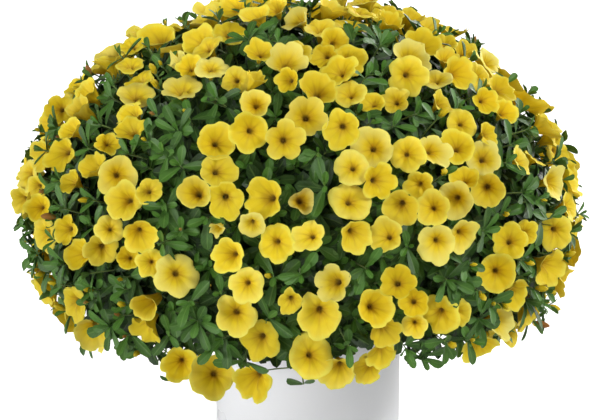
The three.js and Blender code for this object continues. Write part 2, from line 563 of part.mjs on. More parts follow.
// One closed solid from loose triangles: shared corners merged, and faces without area left out.
function solidOf(geometry) {
  const bare = new THREE.BufferGeometry();
  bare.setAttribute("position", geometry.getAttribute("position").clone());
  if (geometry.index) bare.setIndex(geometry.index.clone());
  const merged = mergeVertices(bare, 1e-3);
  const corners = [];
  const index = merged.index.array;
  for (let i = 0; i < index.length; i += 3) {
    const [a, b, c] = [index[i], index[i + 1], index[i + 2]];
    if (a !== b && b !== c && c !== a) corners.push(a, b, c);
  }
  const vertProperties = new Float32Array(merged.attributes.position.array);
  const triVerts = new Uint32Array(corners);
  return new wasm.Manifold(new wasm.Mesh({ numProp: 3, vertProperties, triVerts }));
}

function geometryOf(solid) {
  const { vertProperties, triVerts } = solid.getMesh();
  const geometry = new THREE.BufferGeometry();
  geometry.setAttribute("position", new THREE.BufferAttribute(new Float32Array(vertProperties), 3));
  geometry.setIndex(new THREE.BufferAttribute(new Uint32Array(triVerts), 1));
  geometry.computeVertexNormals();
  return geometry;
}

function meshFrom(points, faces) {
  const geometry = new THREE.BufferGeometry();
  const places = points.flatMap((p) => p.toArray());
  geometry.setAttribute("position", new THREE.Float32BufferAttribute(places, 3));
  geometry.setIndex(faces.flat());
  return geometry;
}

// A shoot is a slim stem whose leaves fan out from its tip. Each leaf is a slender three-sided blade, flat
// above and keeled along its rib, and shares the corners of the stem with the leaves beside it.
function shootSolid(shoot) {
  const { axis, top, base, leaves } = shoot;
  const n = leaves.length;
  const points = [];
  const put = (p) => points.push(p) - 1;
  const at = (out, radius, rise) => top.clone().addScaledVector(out, radius).addScaledVector(axis, rise);
  const foot = -top.distanceTo(base) - ROOTED;
  const crown = put(at(axis, 0, SHOOT.radius));
  const between = leaves.map((leaf, i) => {
    const before = leaves[(i + n - 1) % n].around.clone();
    const gap = Math.atan2(before.clone().cross(leaf.around).dot(axis), before.dot(leaf.around));
    return before.applyAxisAngle(axis, (gap > 0 ? gap : gap + 2 * Math.PI) / 2);
  });
  const upper = between.map((out) => put(at(out, SHOOT.radius, 0)));
  const lower = leaves.map((leaf) => put(at(leaf.around, SHOOT.radius, -SHOOT.radius)));
  const end = leaves.map((leaf) => put(at(leaf.around, SHOOT.radius, foot)));
  const faces = [];
  leaves.forEach((leaf, i) => {
    const next = (i + 1) % n;
    const across = axis.clone().cross(leaf.around).normalize();
    const above = leaf.along.clone().cross(across).normalize();
    const half = leaf.length * LEAF.slender * 0.5;
    const middle = top
      .clone()
      .addScaledVector(leaf.along, leaf.length * LEAF.widest)
      .addScaledVector(above, LEAF.arch);
    const right = put(middle.clone().addScaledVector(across, -half));
    const left = put(middle.clone().addScaledVector(across, half));
    const keel = put(middle.clone().addScaledVector(above, -LEAF.keel));
    const tip = put(top.clone().addScaledVector(leaf.along, leaf.length));
    faces.push([upper[i], right, left], [upper[i], left, upper[next]], [right, tip, left]);
    faces.push([upper[i], lower[i], keel], [upper[i], keel, right], [right, keel, tip]);
    faces.push([upper[next], left, keel], [upper[next], keel, lower[i]], [left, tip, keel]);
    faces.push([crown, upper[i], upper[next]], [upper[next], lower[i], lower[next]]);
    faces.push([lower[next], lower[i], end[i]], [lower[next], end[i], end[next]]);
    if (i > 0 && i < n - 1) faces.push([end[0], end[next], end[i]]);
  });
  return solidOf(meshFrom(points, faces));
}

// A stalk is a slim three-sided spike.
function stalkSolid({ foot, end, axis }) {
  const out = new THREE.Vector3(axis.y, -axis.x, 0).normalize().multiplyScalar(STALK.radius);
  const turned = (k) => out.clone().applyAxisAngle(axis, (k * 2 * Math.PI) / 3);
  const corners = [0, 1, 2].map((k) => foot.clone().add(turned(k)));
  return solidOf(meshFrom([...corners, end], [[0, 2, 1], [0, 1, 3], [1, 2, 3], [2, 0, 3]]));
}

// A cushion is a curved slab with a lightly bumped face: a disc on the top, and a patch of a band below.
function cushionSolid({ row, r, i, turn, start }) {
  const draw = draws(SEEDS.cushions + 10 * r + i);
  const bumps = new Map();
  const isDisc = row.cushions === 1;
  const flat = isDisc
    ? new THREE.CylinderGeometry(1, 1, 1, row.across, row.down)
    : new THREE.BoxGeometry(1, 1, 1, row.across, row.down, 1);
  const gap = CUSHION.gap / 2 / MOUND.reach;
  const spots = flat.getAttribute("position");
  const spot = new THREE.Vector3();
  for (let v = 0; v < spots.count; v++) {
    spot.fromBufferAttribute(spots, v);
    const place = isDisc ? onDisc(spot) : onBand(spot);
    // The two faces swell together, so each column of the slab draws once.
    const key = `${place.column} ${place.polar.toFixed(2)}`;
    if (!bumps.has(key)) bumps.set(key, draw.between(-CUSHION.bump, CUSHION.bump));
    const depth = CUSHION.depth + (place.inner ? CUSHION.thick : 0) + bumps.get(key);
    spot.copy(mounded(direction(Math.cos(place.polar), place.round), depth));
    spots.setXYZ(v, spot.x, spot.y, spot.z);
  }
  return solidOf(flat);

  function onDisc({ x, y, z }) {
    const out = Math.hypot(x, z);
    const column = (Math.round((Math.atan2(z, x) / 2 / Math.PI) * row.across) + row.across) % row.across;
    const polar = out * (row.to * DEGREE - gap);
    return { polar, round: Math.atan2(-z, x) + CUSHION.turn, inner: y < 0, column: out > 0.5 ? column : 0 };
  }

  function onBand({ x, y, z }) {
    const atSide = Math.sign(x) * Math.floor(Math.abs(2 * x) + 1e-6);
    const atEnd = Math.sign(y) * Math.floor(Math.abs(2 * y) + 1e-6);
    const along = start + turn * (x + 0.5);
    const polar = row.from * DEGREE + (rowEnd(row, along) - row.from * DEGREE) * (0.5 - y) + atEnd * gap;
    const round = along - (atSide * gap) / Math.sin(polar);
    return { polar, round, inner: z < 0, column: x.toFixed(2) };
  }
}

function stemFoot({ row, middle }) {
  const z = MIX.top - HOLE.depth + MIX.gap;
  return new THREE.Vector3(row.stemFoot * Math.cos(middle), row.stemFoot * Math.sin(middle), z);
}

// A stem stands straight in the potting mix, then arches out like a fountain to the back of its cushion.
function stemSolid(cushion) {
  const { row, r, middle } = cushion;
  const foot = stemFoot(cushion);
  const polar = r === 0 ? 0 : ((row.from + row.to) / 2) * DEGREE;
  const end = mounded(direction(Math.cos(polar), middle), CUSHION.depth + CUSHION.stemEnd * CUSHION.thick);
  const clear = foot.clone().setZ(MIX.top + STEM.clear);
  const above = clear.clone().setZ(clear.z + row.rise);
  const before = end.clone().lerp(new THREE.Vector3(0, 0, end.z), STEM.hug).setZ(end.z + row.fall);
  const arch = new THREE.CubicBezierCurve3(clear, above, before, end).getPoints(STEM.steps);
  const path = new THREE.CatmullRomCurve3([foot, foot.clone().lerp(clear, 0.5), ...arch], false, "chordal");
  const section = new THREE.Shape(
    Array.from({ length: STEM.sides }, (_, k) => {
      const angle = (k * 2 * Math.PI) / STEM.sides;
      return new THREE.Vector2(STEM.radius * Math.cos(angle), STEM.radius * Math.sin(angle));
    }),
  );
  const steps = STEM.steps + STEM.extra;
  return solidOf(new THREE.ExtrudeGeometry(section, { extrudePath: path, steps, bevelEnabled: false }));
}

function leafyStem(cushion, stalks, shoots) {
  const parts = [cushionSolid(cushion), stemSolid(cushion)];
  for (const stalk of stalks) if (stalk.cushion === cushion) parts.push(stalkSolid(stalk));
  for (const shoot of shoots) if (cushionOf(shoot.base) === cushion) parts.push(shootSolid(shoot));
  return wasm.Manifold.union(parts);
}

// A twig is a slim three-sided rod whose ends lie inside the tubes that it joins.
function twigSolid({ line }) {
  const axis = line.delta(new THREE.Vector3()).normalize();
  const out = new THREE.Vector3(0, 0, 1).cross(axis).normalize().multiplyScalar(TWIG.radius);
  const turned = (k) => out.clone().applyAxisAngle(axis, (k * 2 * Math.PI) / 3);
  const corners = [line.start, line.end].flatMap((end) => [0, 1, 2].map((k) => end.clone().add(turned(k))));
  const sides = [[0, 1, 4], [0, 4, 3], [1, 2, 5], [1, 5, 4], [2, 0, 3], [2, 3, 5]];
  return solidOf(meshFrom(corners, [[0, 2, 1], ...sides, [3, 4, 5]]));
}

// A bunch is one solid: each bloom a five-lobed funnel, and joined blooms share an edge of their rims.
function bunchSolid(bunch) {
  const points = [];
  const put = (p) => points.push(p) - 1;
  const rims = new Map(bunch.blooms.map((b) => [b, { front: [], back: [] }]));
  bunch.ties.filter((tie) => !tie.line).forEach(joinRims);
  const faces = [];
  for (const bloom of bunch.blooms) {
    const { front, back } = rims.get(bloom);
    for (let i = 0; i < RIM; i++) if (front[i] === undefined) front[i] = back[i] = put(rimPoint(bloom, i));
    const throat = put(behind(bloom, BLOOM.throat));
    const root = put(behind(bloom, BLOOM.tube));
    for (let i = 0; i < RIM; i++) {
      const n = (i + 1) % RIM;
      faces.push([throat, front[i], front[n]], [root, back[n], back[i]]);
      const [splitHere, splitNext] = [front[i] !== back[i], front[n] !== back[n]];
      if (i % 2 === 0 && splitHere && splitNext) continue;
      if (splitHere) faces.push([front[n], front[i], back[i]]);
      if (splitNext) faces.push([front[n], back[i], back[n]]);
    }
  }
  const twigs = bunch.ties.filter((tie) => tie.line).map(twigSolid);
  return wasm.Manifold.union([solidOf(meshFrom(points, faces)), ...twigs]);

  // The neighbours' rims run opposite ways, so one bloom's corners meet the other's in reverse. Each
  // corner there is a pair, a web's thickness apart, so that the petals hold together along the edge.
  function joinRims({ a, b, i, j }) {
    const backwards = a.facing.clone().add(b.facing).normalize().multiplyScalar(-LIE.web);
    for (const [mine, its] of [[2 * i, 2 * j + 1], [2 * i + 1, 2 * j]]) {
      const meet = rimPoint(a, mine).lerp(rimPoint(b, its), 0.5);
      const [front, back] = [put(meet), put(meet.clone().add(backwards))];
      [rims.get(a).front[mine], rims.get(a).back[mine]] = [front, back];
      [rims.get(b).front[its], rims.get(b).back[its]] = [front, back];
    }
  }
}

// ---- Pot and potting mix -------------------------------------------------------------------------------

function turned(outline, sides) {
  const lathe = new THREE.LatheGeometry(outline.map(([r, z]) => new THREE.Vector2(r, z)), sides);
  return solidOf(lathe.rotateX(Math.PI / 2));
}

function potSolid() {
  const { radius, height, wall, floor, edge, sides } = POT;
  const inside = radius - wall;
  const outline = [
    [0, 0],
    [radius - edge, 0],
    [radius, edge],
    [radius, height - edge],
    [radius - edge, height],
    [inside + edge, height],
    [inside, height - edge],
    [inside, floor],
    [0, floor],
  ];
  return turned(outline, sides);
}

// The potting mix fills the pot to just under its rim, with a plain hole where each stem stands.
function mixSolid() {
  const across = POT.radius - POT.wall - 2 * MIX.gap;
  const outline = [
    [0, POT.floor + MIX.gap],
    [across, POT.floor + MIX.gap],
    [across, MIX.top - MIX.shoulder],
    [across * MIX.flat, MIX.top],
    [0, MIX.top + MIX.crown],
  ];
  const inscribed = (STEM.radius + HOLE.gap) / Math.cos(Math.PI / HOLE.sides);
  const holes = CUSHIONS.map((cushion) => {
    const { x, y } = stemFoot(cushion);
    const hole = new THREE.CylinderGeometry(inscribed, inscribed, 2 * HOLE.depth, HOLE.sides);
    return solidOf(hole.rotateX(Math.PI / 2).translate(x, y, MIX.top));
  });
  return turned(outline, MIX.sides).subtract(wasm.Manifold.union(holes));
}

// ---- The assembly --------------------------------------------------------------------------------------

const finish = (color, roughness) => new THREE.MeshStandardMaterial({ color, roughness, metalness: 0 });
const WHITE_GLAZE = finish(0xf2f2f0, 0.35);
const PEAT_BROWN = finish(0x3a2c20, 0.95);
const LEAF_GREEN = finish(0x38602f, 0.6);
const PETAL_YELLOW = finish(0xe8c62e, 0.55);

function named(name, solid, material) {
  const mesh = new THREE.Mesh(geometryOf(solid), material);
  mesh.name = name;
  return mesh;
}

const numbered = (name, k) => `${name}_${String(k + 1).padStart(2, "0")}`;

const plant = new THREE.Group();
plant.add(named("pot", potSolid(), WHITE_GLAZE));
plant.add(named("potting_mix", mixSolid(), PEAT_BROWN));

const bunches = joinBunches(settle(standingBlooms()));
const blooms = bunches.flatMap((bunch) => bunch.blooms);
const twigs = bunches.flatMap((bunch) => bunch.ties.filter((tie) => tie.line));
const stalks = bunches.map((bunch) => clearStalk(bunch, blooms, twigs));
const shoots = growShoots(blooms, stalks, twigs);
CUSHIONS.forEach((cushion, k) => {
  plant.add(named(numbered("leafy_stem", k), leafyStem(cushion, stalks, shoots), LEAF_GREEN));
});
bunches.forEach((bunch, k) => {
  plant.add(named(numbered("bloom_bunch", k), bunchSolid(bunch), PETAL_YELLOW));
});

export default plant;
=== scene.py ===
"""A calibrachoa in flower with its pot: pot, potting mix, leafy shoots, stems, leaves and blooms."""

from math import atan2, cos, dist, exp, floor, hypot, pi, radians, sin, sqrt

import bmesh
import bpy
import numpy as np
from mathutils import Matrix, Vector, noise
from numpy.linalg import norm


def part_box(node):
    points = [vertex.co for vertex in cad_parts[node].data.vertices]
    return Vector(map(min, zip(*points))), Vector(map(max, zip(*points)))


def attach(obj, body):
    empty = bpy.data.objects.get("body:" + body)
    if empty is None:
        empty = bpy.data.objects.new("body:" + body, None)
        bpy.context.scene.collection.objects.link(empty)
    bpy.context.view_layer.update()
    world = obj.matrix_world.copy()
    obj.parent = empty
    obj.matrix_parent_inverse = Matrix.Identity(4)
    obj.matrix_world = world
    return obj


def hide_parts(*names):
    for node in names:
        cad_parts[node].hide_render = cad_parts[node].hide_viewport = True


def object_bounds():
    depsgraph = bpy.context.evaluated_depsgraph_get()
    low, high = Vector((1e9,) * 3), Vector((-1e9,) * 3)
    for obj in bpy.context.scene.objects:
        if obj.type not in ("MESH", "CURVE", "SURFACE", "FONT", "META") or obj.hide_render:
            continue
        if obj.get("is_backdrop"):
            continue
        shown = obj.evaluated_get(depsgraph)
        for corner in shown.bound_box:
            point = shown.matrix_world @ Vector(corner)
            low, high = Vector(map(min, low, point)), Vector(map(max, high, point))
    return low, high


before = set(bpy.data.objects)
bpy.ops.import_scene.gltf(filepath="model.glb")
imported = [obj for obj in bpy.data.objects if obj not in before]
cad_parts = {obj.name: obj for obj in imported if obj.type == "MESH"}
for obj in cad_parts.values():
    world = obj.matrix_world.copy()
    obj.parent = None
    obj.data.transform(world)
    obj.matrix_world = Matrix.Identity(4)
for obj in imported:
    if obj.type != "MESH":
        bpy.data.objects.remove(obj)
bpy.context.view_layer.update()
scene = bpy.context.scene

# ---- The pot -----------------------------------------------------------------------------------------
# One moulding of white plastic with a satin gloss: a straight cylinder with a thin rounded lip, a closed
# floor and an eased foot. It stands free and holds the mix, and nothing is fixed to it.

MM = 0.001
POT_SIDES, WALL_RINGS, EDGE_STEPS = 96, 6, 4
POT_WALL, POT_FLOOR, POT_EDGE, FOOT_EDGE = 3.5 * MM, 5 * MM, 1.5 * MM, 2 * MM
POT_WHITE, POT_SHADE, POT_ROUGHNESS = "#f5f6f9", "#eff0f3", (0.26, 0.34)
CLOUD_SIZE, GRAIN_SIZE, GRAIN_HEIGHT = 60 * MM, 0.6 * MM, 0.01 * MM


def colour(code):
    """A linear colour with full alpha from a hex code."""
    shares = [int(code[i : i + 2], 16) / 255 for i in (1, 3, 5)]
    return (*[s / 12.92 if s <= 0.04045 else ((s + 0.055) / 1.055) ** 2.4 for s in shares], 1.0)


def put(tree, kind, sockets=None, **settings):
    """A new node with its settings, and each socket linked to an output or set to a value."""
    made = tree.nodes.new(kind)
    for key, value in settings.items():
        setattr(made, key, value)
    for key, value in (sockets or {}).items():
        if isinstance(value, bpy.types.NodeSocket):
            tree.links.new(value, made.inputs[key])
        else:
            made.inputs[key].default_value = value
    return made


def socket(tree, kind, sockets=None, at=0, **settings):
    """What one of a new node's outputs gives."""
    return put(tree, kind, sockets, **settings).outputs[at]


def worked(operation, *values):
    """The outcome of one of the Math node's operations."""
    tree = next(value.id_data for value in values if isinstance(value, bpy.types.NodeSocket))
    return socket(tree, "ShaderNodeMath", dict(enumerate(values)), operation=operation)


def times(first, second):
    """Two values multiplied."""
    return worked("MULTIPLY", first, second)


def minus(first, second):
    """The first value less the second."""
    return worked("SUBTRACT", first, second)


def eased(value, low, high, start=0.0, end=1.0):
    """A value carried smoothly from the range low to high over to the range start to end."""
    sockets = {0: value, 1: low, 2: high, 3: start, 4: end}
    return socket(value.id_data, "ShaderNodeMapRange", sockets, interpolation_type="SMOOTHSTEP")


def blended(tree, share, first, second):
    """The colour that lies a share of the way from the first to the second."""
    return socket(tree, "ShaderNodeMix", {0: share, 6: first, 7: second}, data_type="RGBA", at=2)


def start_effect(name, inputs):
    """An empty shader group with its named inputs, for what more than one material shares."""
    made = bpy.data.node_groups.new(name, "ShaderNodeTree")
    for label, kind in inputs:
        made.interface.new_socket(label, in_out="INPUT", socket_type="NodeSocket" + kind)
    return made, made.nodes.new("NodeGroupInput").outputs


def end_effect(tree, outputs):
    """Names what the effect puts out."""
    for label, value in outputs.items():
        kind = "NodeSocketColor" if label == "Color" else "NodeSocketFloat"
        tree.interface.new_socket(label, in_out="OUTPUT", socket_type=kind)
    put(tree, "NodeGroupOutput", outputs)
    return tree


def effect(tree, group, sockets):
    """The outputs of a shared effect placed in a material with its own values."""
    return put(tree, "ShaderNodeGroup", sockets, node_tree=group).outputs


tree, given = start_effect("soft_noise", [("Size", "Float"), ("Detail", "Float")])
where = socket(tree, "ShaderNodeTexCoord", at="Object")
sockets = {"Vector": where, "Scale": worked("DIVIDE", 1.0, given["Size"]), "Detail": given["Detail"]}
soft_noise = end_effect(tree, {"Value": socket(tree, "ShaderNodeTexNoise", sockets, at="Fac")})


def mottle(tree, size, detail=3.0):
    """Soft noise from 0 to 1 over the piece, with patches of the given size in metres."""
    return effect(tree, soft_noise, {"Size": size, "Detail": detail})["Value"]


def new_material(name):
    """An empty material and its node tree."""
    made = bpy.data.materials.new(name)
    made.use_nodes = True
    made.node_tree.nodes.clear()
    return made, made.node_tree


def end_surface(tree, sockets):
    """Ends a material with one plain surface."""
    shader = put(tree, "ShaderNodeBsdfPrincipled", sockets)
    put(tree, "ShaderNodeOutputMaterial", {"Surface": shader.outputs["BSDF"]})


def raised(height, distance):
    """A normal from a height that is distance metres from 0 to 1."""
    return socket(height.id_data, "ShaderNodeBump", {"Strength": 1.0, "Distance": distance, "Height": height})


def add_skin(form, rings, along, finish=0, around=None, free=None):
    """Adds a closed skin over rings of points; a ring of one point closes an end. Its U follows around."""
    uv = form.loops.layers.uv.get("UVMap") or form.loops.layers.uv.new("UVMap")
    kind = form.faces.layers.int.get("finish") or form.faces.layers.int.new("finish")
    freedom = form.verts.layers.float.get("free") or form.verts.layers.float.new("free")
    rows = [[form.verts.new(point) for point in ring] for ring in rings]
    for k, row in enumerate(rows):
        for vert in row:
            vert[freedom] = free[k] if free else 0.0
    for k, (lower, upper) in enumerate(zip(rows, rows[1:])):
        count = max(len(lower), len(upper))
        turns = around or [j / count for j in range(count + 1)]
        for j in range(count):
            middle, corners = (turns[j] + turns[j + 1]) / 2, []
            for row, level, columns in ((lower, along[k], (j, j + 1)), (upper, along[k + 1], (j + 1, j))):
                ends = [(row[c % count], turns[c], level) for c in columns] if len(row) > 1 else []
                corners += ends or [(row[0], middle, level)]
            face = form.faces.new([corner[0] for corner in corners])
            face[kind] = finish(k, j) if callable(finish) else finish
            face.smooth = True
            for loop, corner in zip(face.loops, corners):
                loop[uv].uv = corner[1:]


def in_scene(name, data, collection=None):
    """A new object in the scene, or in a collection of forms that is kept out of it."""
    made = bpy.data.objects.new(name, data)
    (collection or scene.collection).objects.link(made)
    return made


def object_from(form, name, collection=None):
    """Turns what was formed into an object, with a hard edge wherever two finishes meet."""
    kind = form.faces.layers.int.get("finish")
    for edge in form.edges:
        faces = edge.link_faces
        edge.smooth = kind is None or len(faces) < 2 or faces[0][kind] == faces[1][kind]
    mesh = bpy.data.meshes.new(name)
    form.to_mesh(mesh)
    form.free()
    return in_scene(name, mesh, collection)


def ring_at(radius, height, count, turn=0.0):
    """A level ring of points, counter-clockwise seen from above."""
    angles = [turn + 2 * pi * j / count for j in range(count)]
    return [(radius * cos(a), radius * sin(a), height) for a in angles]


def rounded_edge(radius, height, edge, start):
    """Rings of a quarter round about the middle at radius and height, from the start angle on."""
    turns = [start + pi / 2 * k / EDGE_STEPS for k in range(EDGE_STEPS + 1)]
    return [(radius + edge * cos(a), height + edge * sin(a)) for a in turns]


pot_low, pot_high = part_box("pot")
pot_radius, pot_top = (pot_high.x - pot_low.x) / 2, pot_high.z
inner_radius = pot_radius - POT_WALL
pot_profile = rounded_edge(pot_radius - FOOT_EDGE, FOOT_EDGE, FOOT_EDGE, -pi / 2)
pot_profile += [(pot_radius, pot_top * k / WALL_RINGS) for k in range(1, WALL_RINGS)]
pot_profile += rounded_edge(pot_radius - POT_EDGE, pot_top - POT_EDGE, POT_EDGE, 0)
pot_profile += rounded_edge(inner_radius + POT_EDGE, pot_top - POT_EDGE, POT_EDGE, pi / 2)
pot_profile += [(inner_radius, POT_FLOOR)]
pot_rings = [[(0, 0, 0)], *[ring_at(r, z, POT_SIDES) for r, z in pot_profile], [(0, 0, POT_FLOOR)]]

white_plastic, tree = new_material("white_plastic")
clouds = mottle(tree, CLOUD_SIZE, 2.0)
base = blended(tree, clouds, colour(POT_WHITE), colour(POT_SHADE))
sockets = {"Base Color": base, "Roughness": eased(clouds, 0.2, 0.8, *POT_ROUGHNESS)}
sockets["Normal"] = raised(mottle(tree, GRAIN_SIZE, 2.0), GRAIN_HEIGHT)
end_surface(tree, sockets)

form = bmesh.new()
add_skin(form, pot_rings, [k / (len(pot_rings) - 1) for k in range(len(pot_rings))])
pot = object_from(form, "white_pot")
pot.data.materials.append(white_plastic)
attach(pot, "root")
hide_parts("pot")

# ---- The potting mix ---------------------------------------------------------------------------------
# Moist peat with bark crumbs and white perlite, filled loose up to just below the lip and watered level.
# The stems root in it, and loose crumbs lie all over its top.

MIX_COLUMNS, MIX_RINGS = 72, 18
LUMP, LUMP_SIZE, WALL_FALL = 2.2 * MM, 9 * MM, 4 * MM
CRUMB_SPACING, CRUMB_SIZE, CRUMB_DEPTH, CRUMB_FORMS = 5.4 * MM, 2.9 * MM, 8 * MM, 6
CRUMB_SPREAD, CRUMB_ROUGH, CRUMB_BUMPS, CRUMB_FLAT, CRUMB_DENSITY = (0.5, 1.3), 0.55, 1.3, 0.7, 90000.0
CRUMB_TURNS = ((0, 0, 0), (0.5, 0.5, 6.28))
PEAT_CODES, PERLITE_CODES = ("#1d130c", "#4a3425"), ("#d9d6cc", "#f3f1ea")

mix_low, mix_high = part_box("potting_mix")
mix_radius = (mix_high.x - mix_low.x) / 2


def mix_point(radius, angle):
    """A point of the mix's lumpy top, which falls a little towards the wall."""
    at = Vector((radius * cos(angle), radius * sin(angle), 0))
    share = radius / mix_radius
    fall = WALL_FALL * share**3
    lump = LUMP * noise.fractal(at / LUMP_SIZE, 0.7, 2.0, 4) * (1 - share**8)
    return (at.x, at.y, mix_high.z - LUMP - fall + lump)


def mottled(name, codes, patch, roughness, grain=None, detail=3.0, span=None, sheen=0.0):
    """A material in soft patches of two colours, with a grain of a size, a detail and a height."""
    made, tree = new_material(name)
    share = mottle(tree, patch, detail)
    share = eased(share, *span) if span else share
    base = blended(tree, share, colour(codes[0]), colour(codes[1]))
    sockets = {"Base Color": base, "Roughness": roughness, "Sheen Weight": sheen}
    if grain:
        sockets["Normal"] = raised(mottle(tree, *grain[:2]), grain[2])
    end_surface(tree, sockets)
    return made


peat = mottled("peat_mix", PEAT_CODES, 5 * MM, 0.95, (1.2 * MM, 5.0, 0.8 * MM), 6.0, (0.35, 0.7))
perlite = mottled("perlite", PERLITE_CODES, 0.8 * MM, 0.9, (0.5 * MM, 3.0, 0.3 * MM))

form = bmesh.new()
turns = [2 * pi * j / MIX_COLUMNS for j in range(MIX_COLUMNS)]
radii = [mix_radius * k / MIX_RINGS for k in range(MIX_RINGS, 0, -1)]
mix_rings = [[(0, 0, mix_low.z)], ring_at(mix_radius, mix_low.z, MIX_COLUMNS)]
mix_rings += [[mix_point(r, a) for a in turns] for r in radii]
mix_rings.append([mix_point(0, 0)])
add_skin(form, mix_rings, [k / (len(mix_rings) - 1) for k in range(len(mix_rings))])
mix = object_from(form, "mix_bed")


def crumb_form(k):
    """One rough, flattened crumb of radius 1: the first is perlite, and the others are peat."""
    form = bmesh.new()
    bmesh.ops.create_icosphere(form, subdivisions=1, radius=1.0)
    kind = form.faces.layers.int.new("finish")
    for vert in form.verts:
        vert.co *= 1 + CRUMB_ROUGH * noise.noise(vert.co * CRUMB_BUMPS + Vector((7.0 * k, 0, 0)))
        vert.co.z *= CRUMB_FLAT
    for face in form.faces:
        face[kind] = int(k == 0)
    return form


def forms_in(name, forms):
    """A collection of forms that a tree picks from, kept out of the scene."""
    made = bpy.data.collections.new(name + "_forms")
    for k, form in enumerate(forms):
        object_from(form, f"{name}_{k:02d}", made)
    return made


crumb_forms = forms_in("crumb", [crumb_form(k) for k in range(CRUMB_FORMS)])


def start_tree(name, inputs):
    """An empty geometry tree with a geometry input, its named inputs, and a geometry output."""
    made = bpy.data.node_groups.new(name, "GeometryNodeTree")
    for label, kind in [("Geometry", "Geometry"), *inputs]:
        made.interface.new_socket(label, in_out="INPUT", socket_type="NodeSocket" + kind)
    made.interface.new_socket("Geometry", in_out="OUTPUT", socket_type="NodeSocketGeometry")
    return made, made.nodes.new("NodeGroupInput").outputs


def end_tree(tree, geometry, materials):
    """Gives each face the material that its finish counts to, and ends the tree."""
    kind = named(tree, "finish", "INT")
    for k, material in enumerate(materials):
        same = socket(tree, "FunctionNodeCompare", {2: kind, 3: k}, data_type="INT", operation="EQUAL")
        sockets = {"Geometry": geometry, "Selection": same, "Material": material}
        geometry = socket(tree, "GeometryNodeSetMaterial", sockets)
    put(tree, "NodeGroupOutput", {"Geometry": geometry})


def named(tree, name, kind):
    """The values of an attribute."""
    return socket(tree, "GeometryNodeInputNamedAttribute", {"Name": name}, data_type=kind)


def copies_of(tree, forms, points, sockets):
    """One of the collection's forms on each point, turned and sized by the sockets, made real."""
    sorts = {"Collection": forms, "Separate Children": True, "Reset Children": True}
    picked = socket(tree, "GeometryNodeCollectionInfo", sorts)
    sockets = {"Points": points, "Instance": picked, "Pick Instance": True, **sockets}
    copies = socket(tree, "GeometryNodeInstanceOnPoints", sockets)
    return socket(tree, "GeometryNodeRealizeInstances", {"Geometry": copies})


def grown(source, tree, name, values):
    """A plain mesh object of what a geometry tree makes of the source, which then goes."""
    modifier = source.modifiers.new("grow", "NODES")
    modifier.node_group = tree
    for item in tree.interface.items_tree:
        if item.in_out == "INPUT" and item.name in values:
            modifier[item.identifier] = values[item.name]
    depsgraph = bpy.context.evaluated_depsgraph_get()
    evaluated = source.evaluated_get(depsgraph)
    mesh = bpy.data.meshes.new_from_object(evaluated, preserve_all_data_layers=True, depsgraph=depsgraph)
    mesh.name = name
    source.modifiers.remove(modifier)
    bpy.data.objects.remove(source)
    return in_scene(name, mesh)


inputs = [("Crumbs", "Collection"), ("Spacing", "Float"), ("Crumb Size", "Float"), ("Top Height", "Float")]
tree, given = start_tree("scatter_crumbs", [*inputs, ("Seed", "Int")])
spot = socket(tree, "GeometryNodeInputPosition")
sockets = {0: socket(tree, "ShaderNodeSeparateXYZ", {0: spot}, at="Z"), 1: given["Top Height"]}
on_top = socket(tree, "FunctionNodeCompare", sockets, operation="GREATER_THAN")
sockets = {"Mesh": given["Geometry"], "Selection": on_top, "Distance Min": given["Spacing"]}
sockets.update({"Density Max": CRUMB_DENSITY, "Seed": given["Seed"]})
spots = socket(tree, "GeometryNodeDistributePointsOnFaces", sockets, distribute_method="POISSON")
sockets = {2: CRUMB_SPREAD[0], 3: CRUMB_SPREAD[1], "Seed": given["Seed"]}
size = socket(tree, "FunctionNodeRandomValue", sockets, data_type="FLOAT", at=1)
sockets = {0: CRUMB_TURNS[0], 1: CRUMB_TURNS[1]}
spin = socket(tree, "FunctionNodeRandomValue", sockets, data_type="FLOAT_VECTOR")
sockets = {"Rotation": spin, "Scale": times(size, given["Crumb Size"])}
joined = put(tree, "GeometryNodeJoinGeometry")
tree.links.new(given["Geometry"], joined.inputs[0])
tree.links.new(copies_of(tree, given["Crumbs"], spots, sockets), joined.inputs[0])
end_tree(tree, joined.outputs[0], [peat, perlite])
values = {"Crumbs": crumb_forms, "Spacing": CRUMB_SPACING, "Crumb Size": CRUMB_SIZE, "Seed": 4}
values["Top Height"] = mix_high.z - CRUMB_DEPTH
mix = grown(mix, tree, "peat_and_perlite", values)
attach(mix, "root")
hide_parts("potting_mix")

# ---- Where the blooms stand --------------------------------------------------------------------------
# Each bloom is a trumpet on a thin stalk. Its throat, root and rim are corners of its bunch's solid, so
# its middle, the way that it faces, its radius and the turn of its five lobes are read from there.

MERGE = 0.02 * MM
RIM_CORNERS, LOBES = 10, 5
THROAT, TUBE, NOTCH = 0.5, 1.28, 0.88  # behind the rim and along the rim, in shares of the radius
WEB, SHARED_LEAST = 1.2 * MM, 6  # a throat and its root have at least this many rim corners in common
NOD, FULLNESS = 0.4, 1.12
LOOK_HEIGHTS, LOOK_UP = (150 * MM, 330 * MM), (-0.2, 0.32)
leafy = sorted(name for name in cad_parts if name.startswith("leafy_stem"))
bunches = sorted(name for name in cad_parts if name.startswith("bloom_bunch"))


def unit(vectors):
    """The same vectors, each of length 1."""
    return vectors / norm(vectors, axis=-1, keepdims=True)


def between(first, second, share=0.5):
    """The point that lies between two others and has a share of the first."""
    return first * share + second * (1 - share)


def merged(node):
    """A solid's corners, each once, and the set of corners that each has an edge to."""
    form = bmesh.new()
    form.from_mesh(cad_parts[node].data)
    bmesh.ops.remove_doubles(form, verts=form.verts, dist=MERGE)
    form.verts.index_update()
    corners = np.array([vert.co for vert in form.verts])
    beside = [{edge.other_vert(vert).index for edge in vert.link_edges} for vert in form.verts]
    form.free()
    return corners, beside


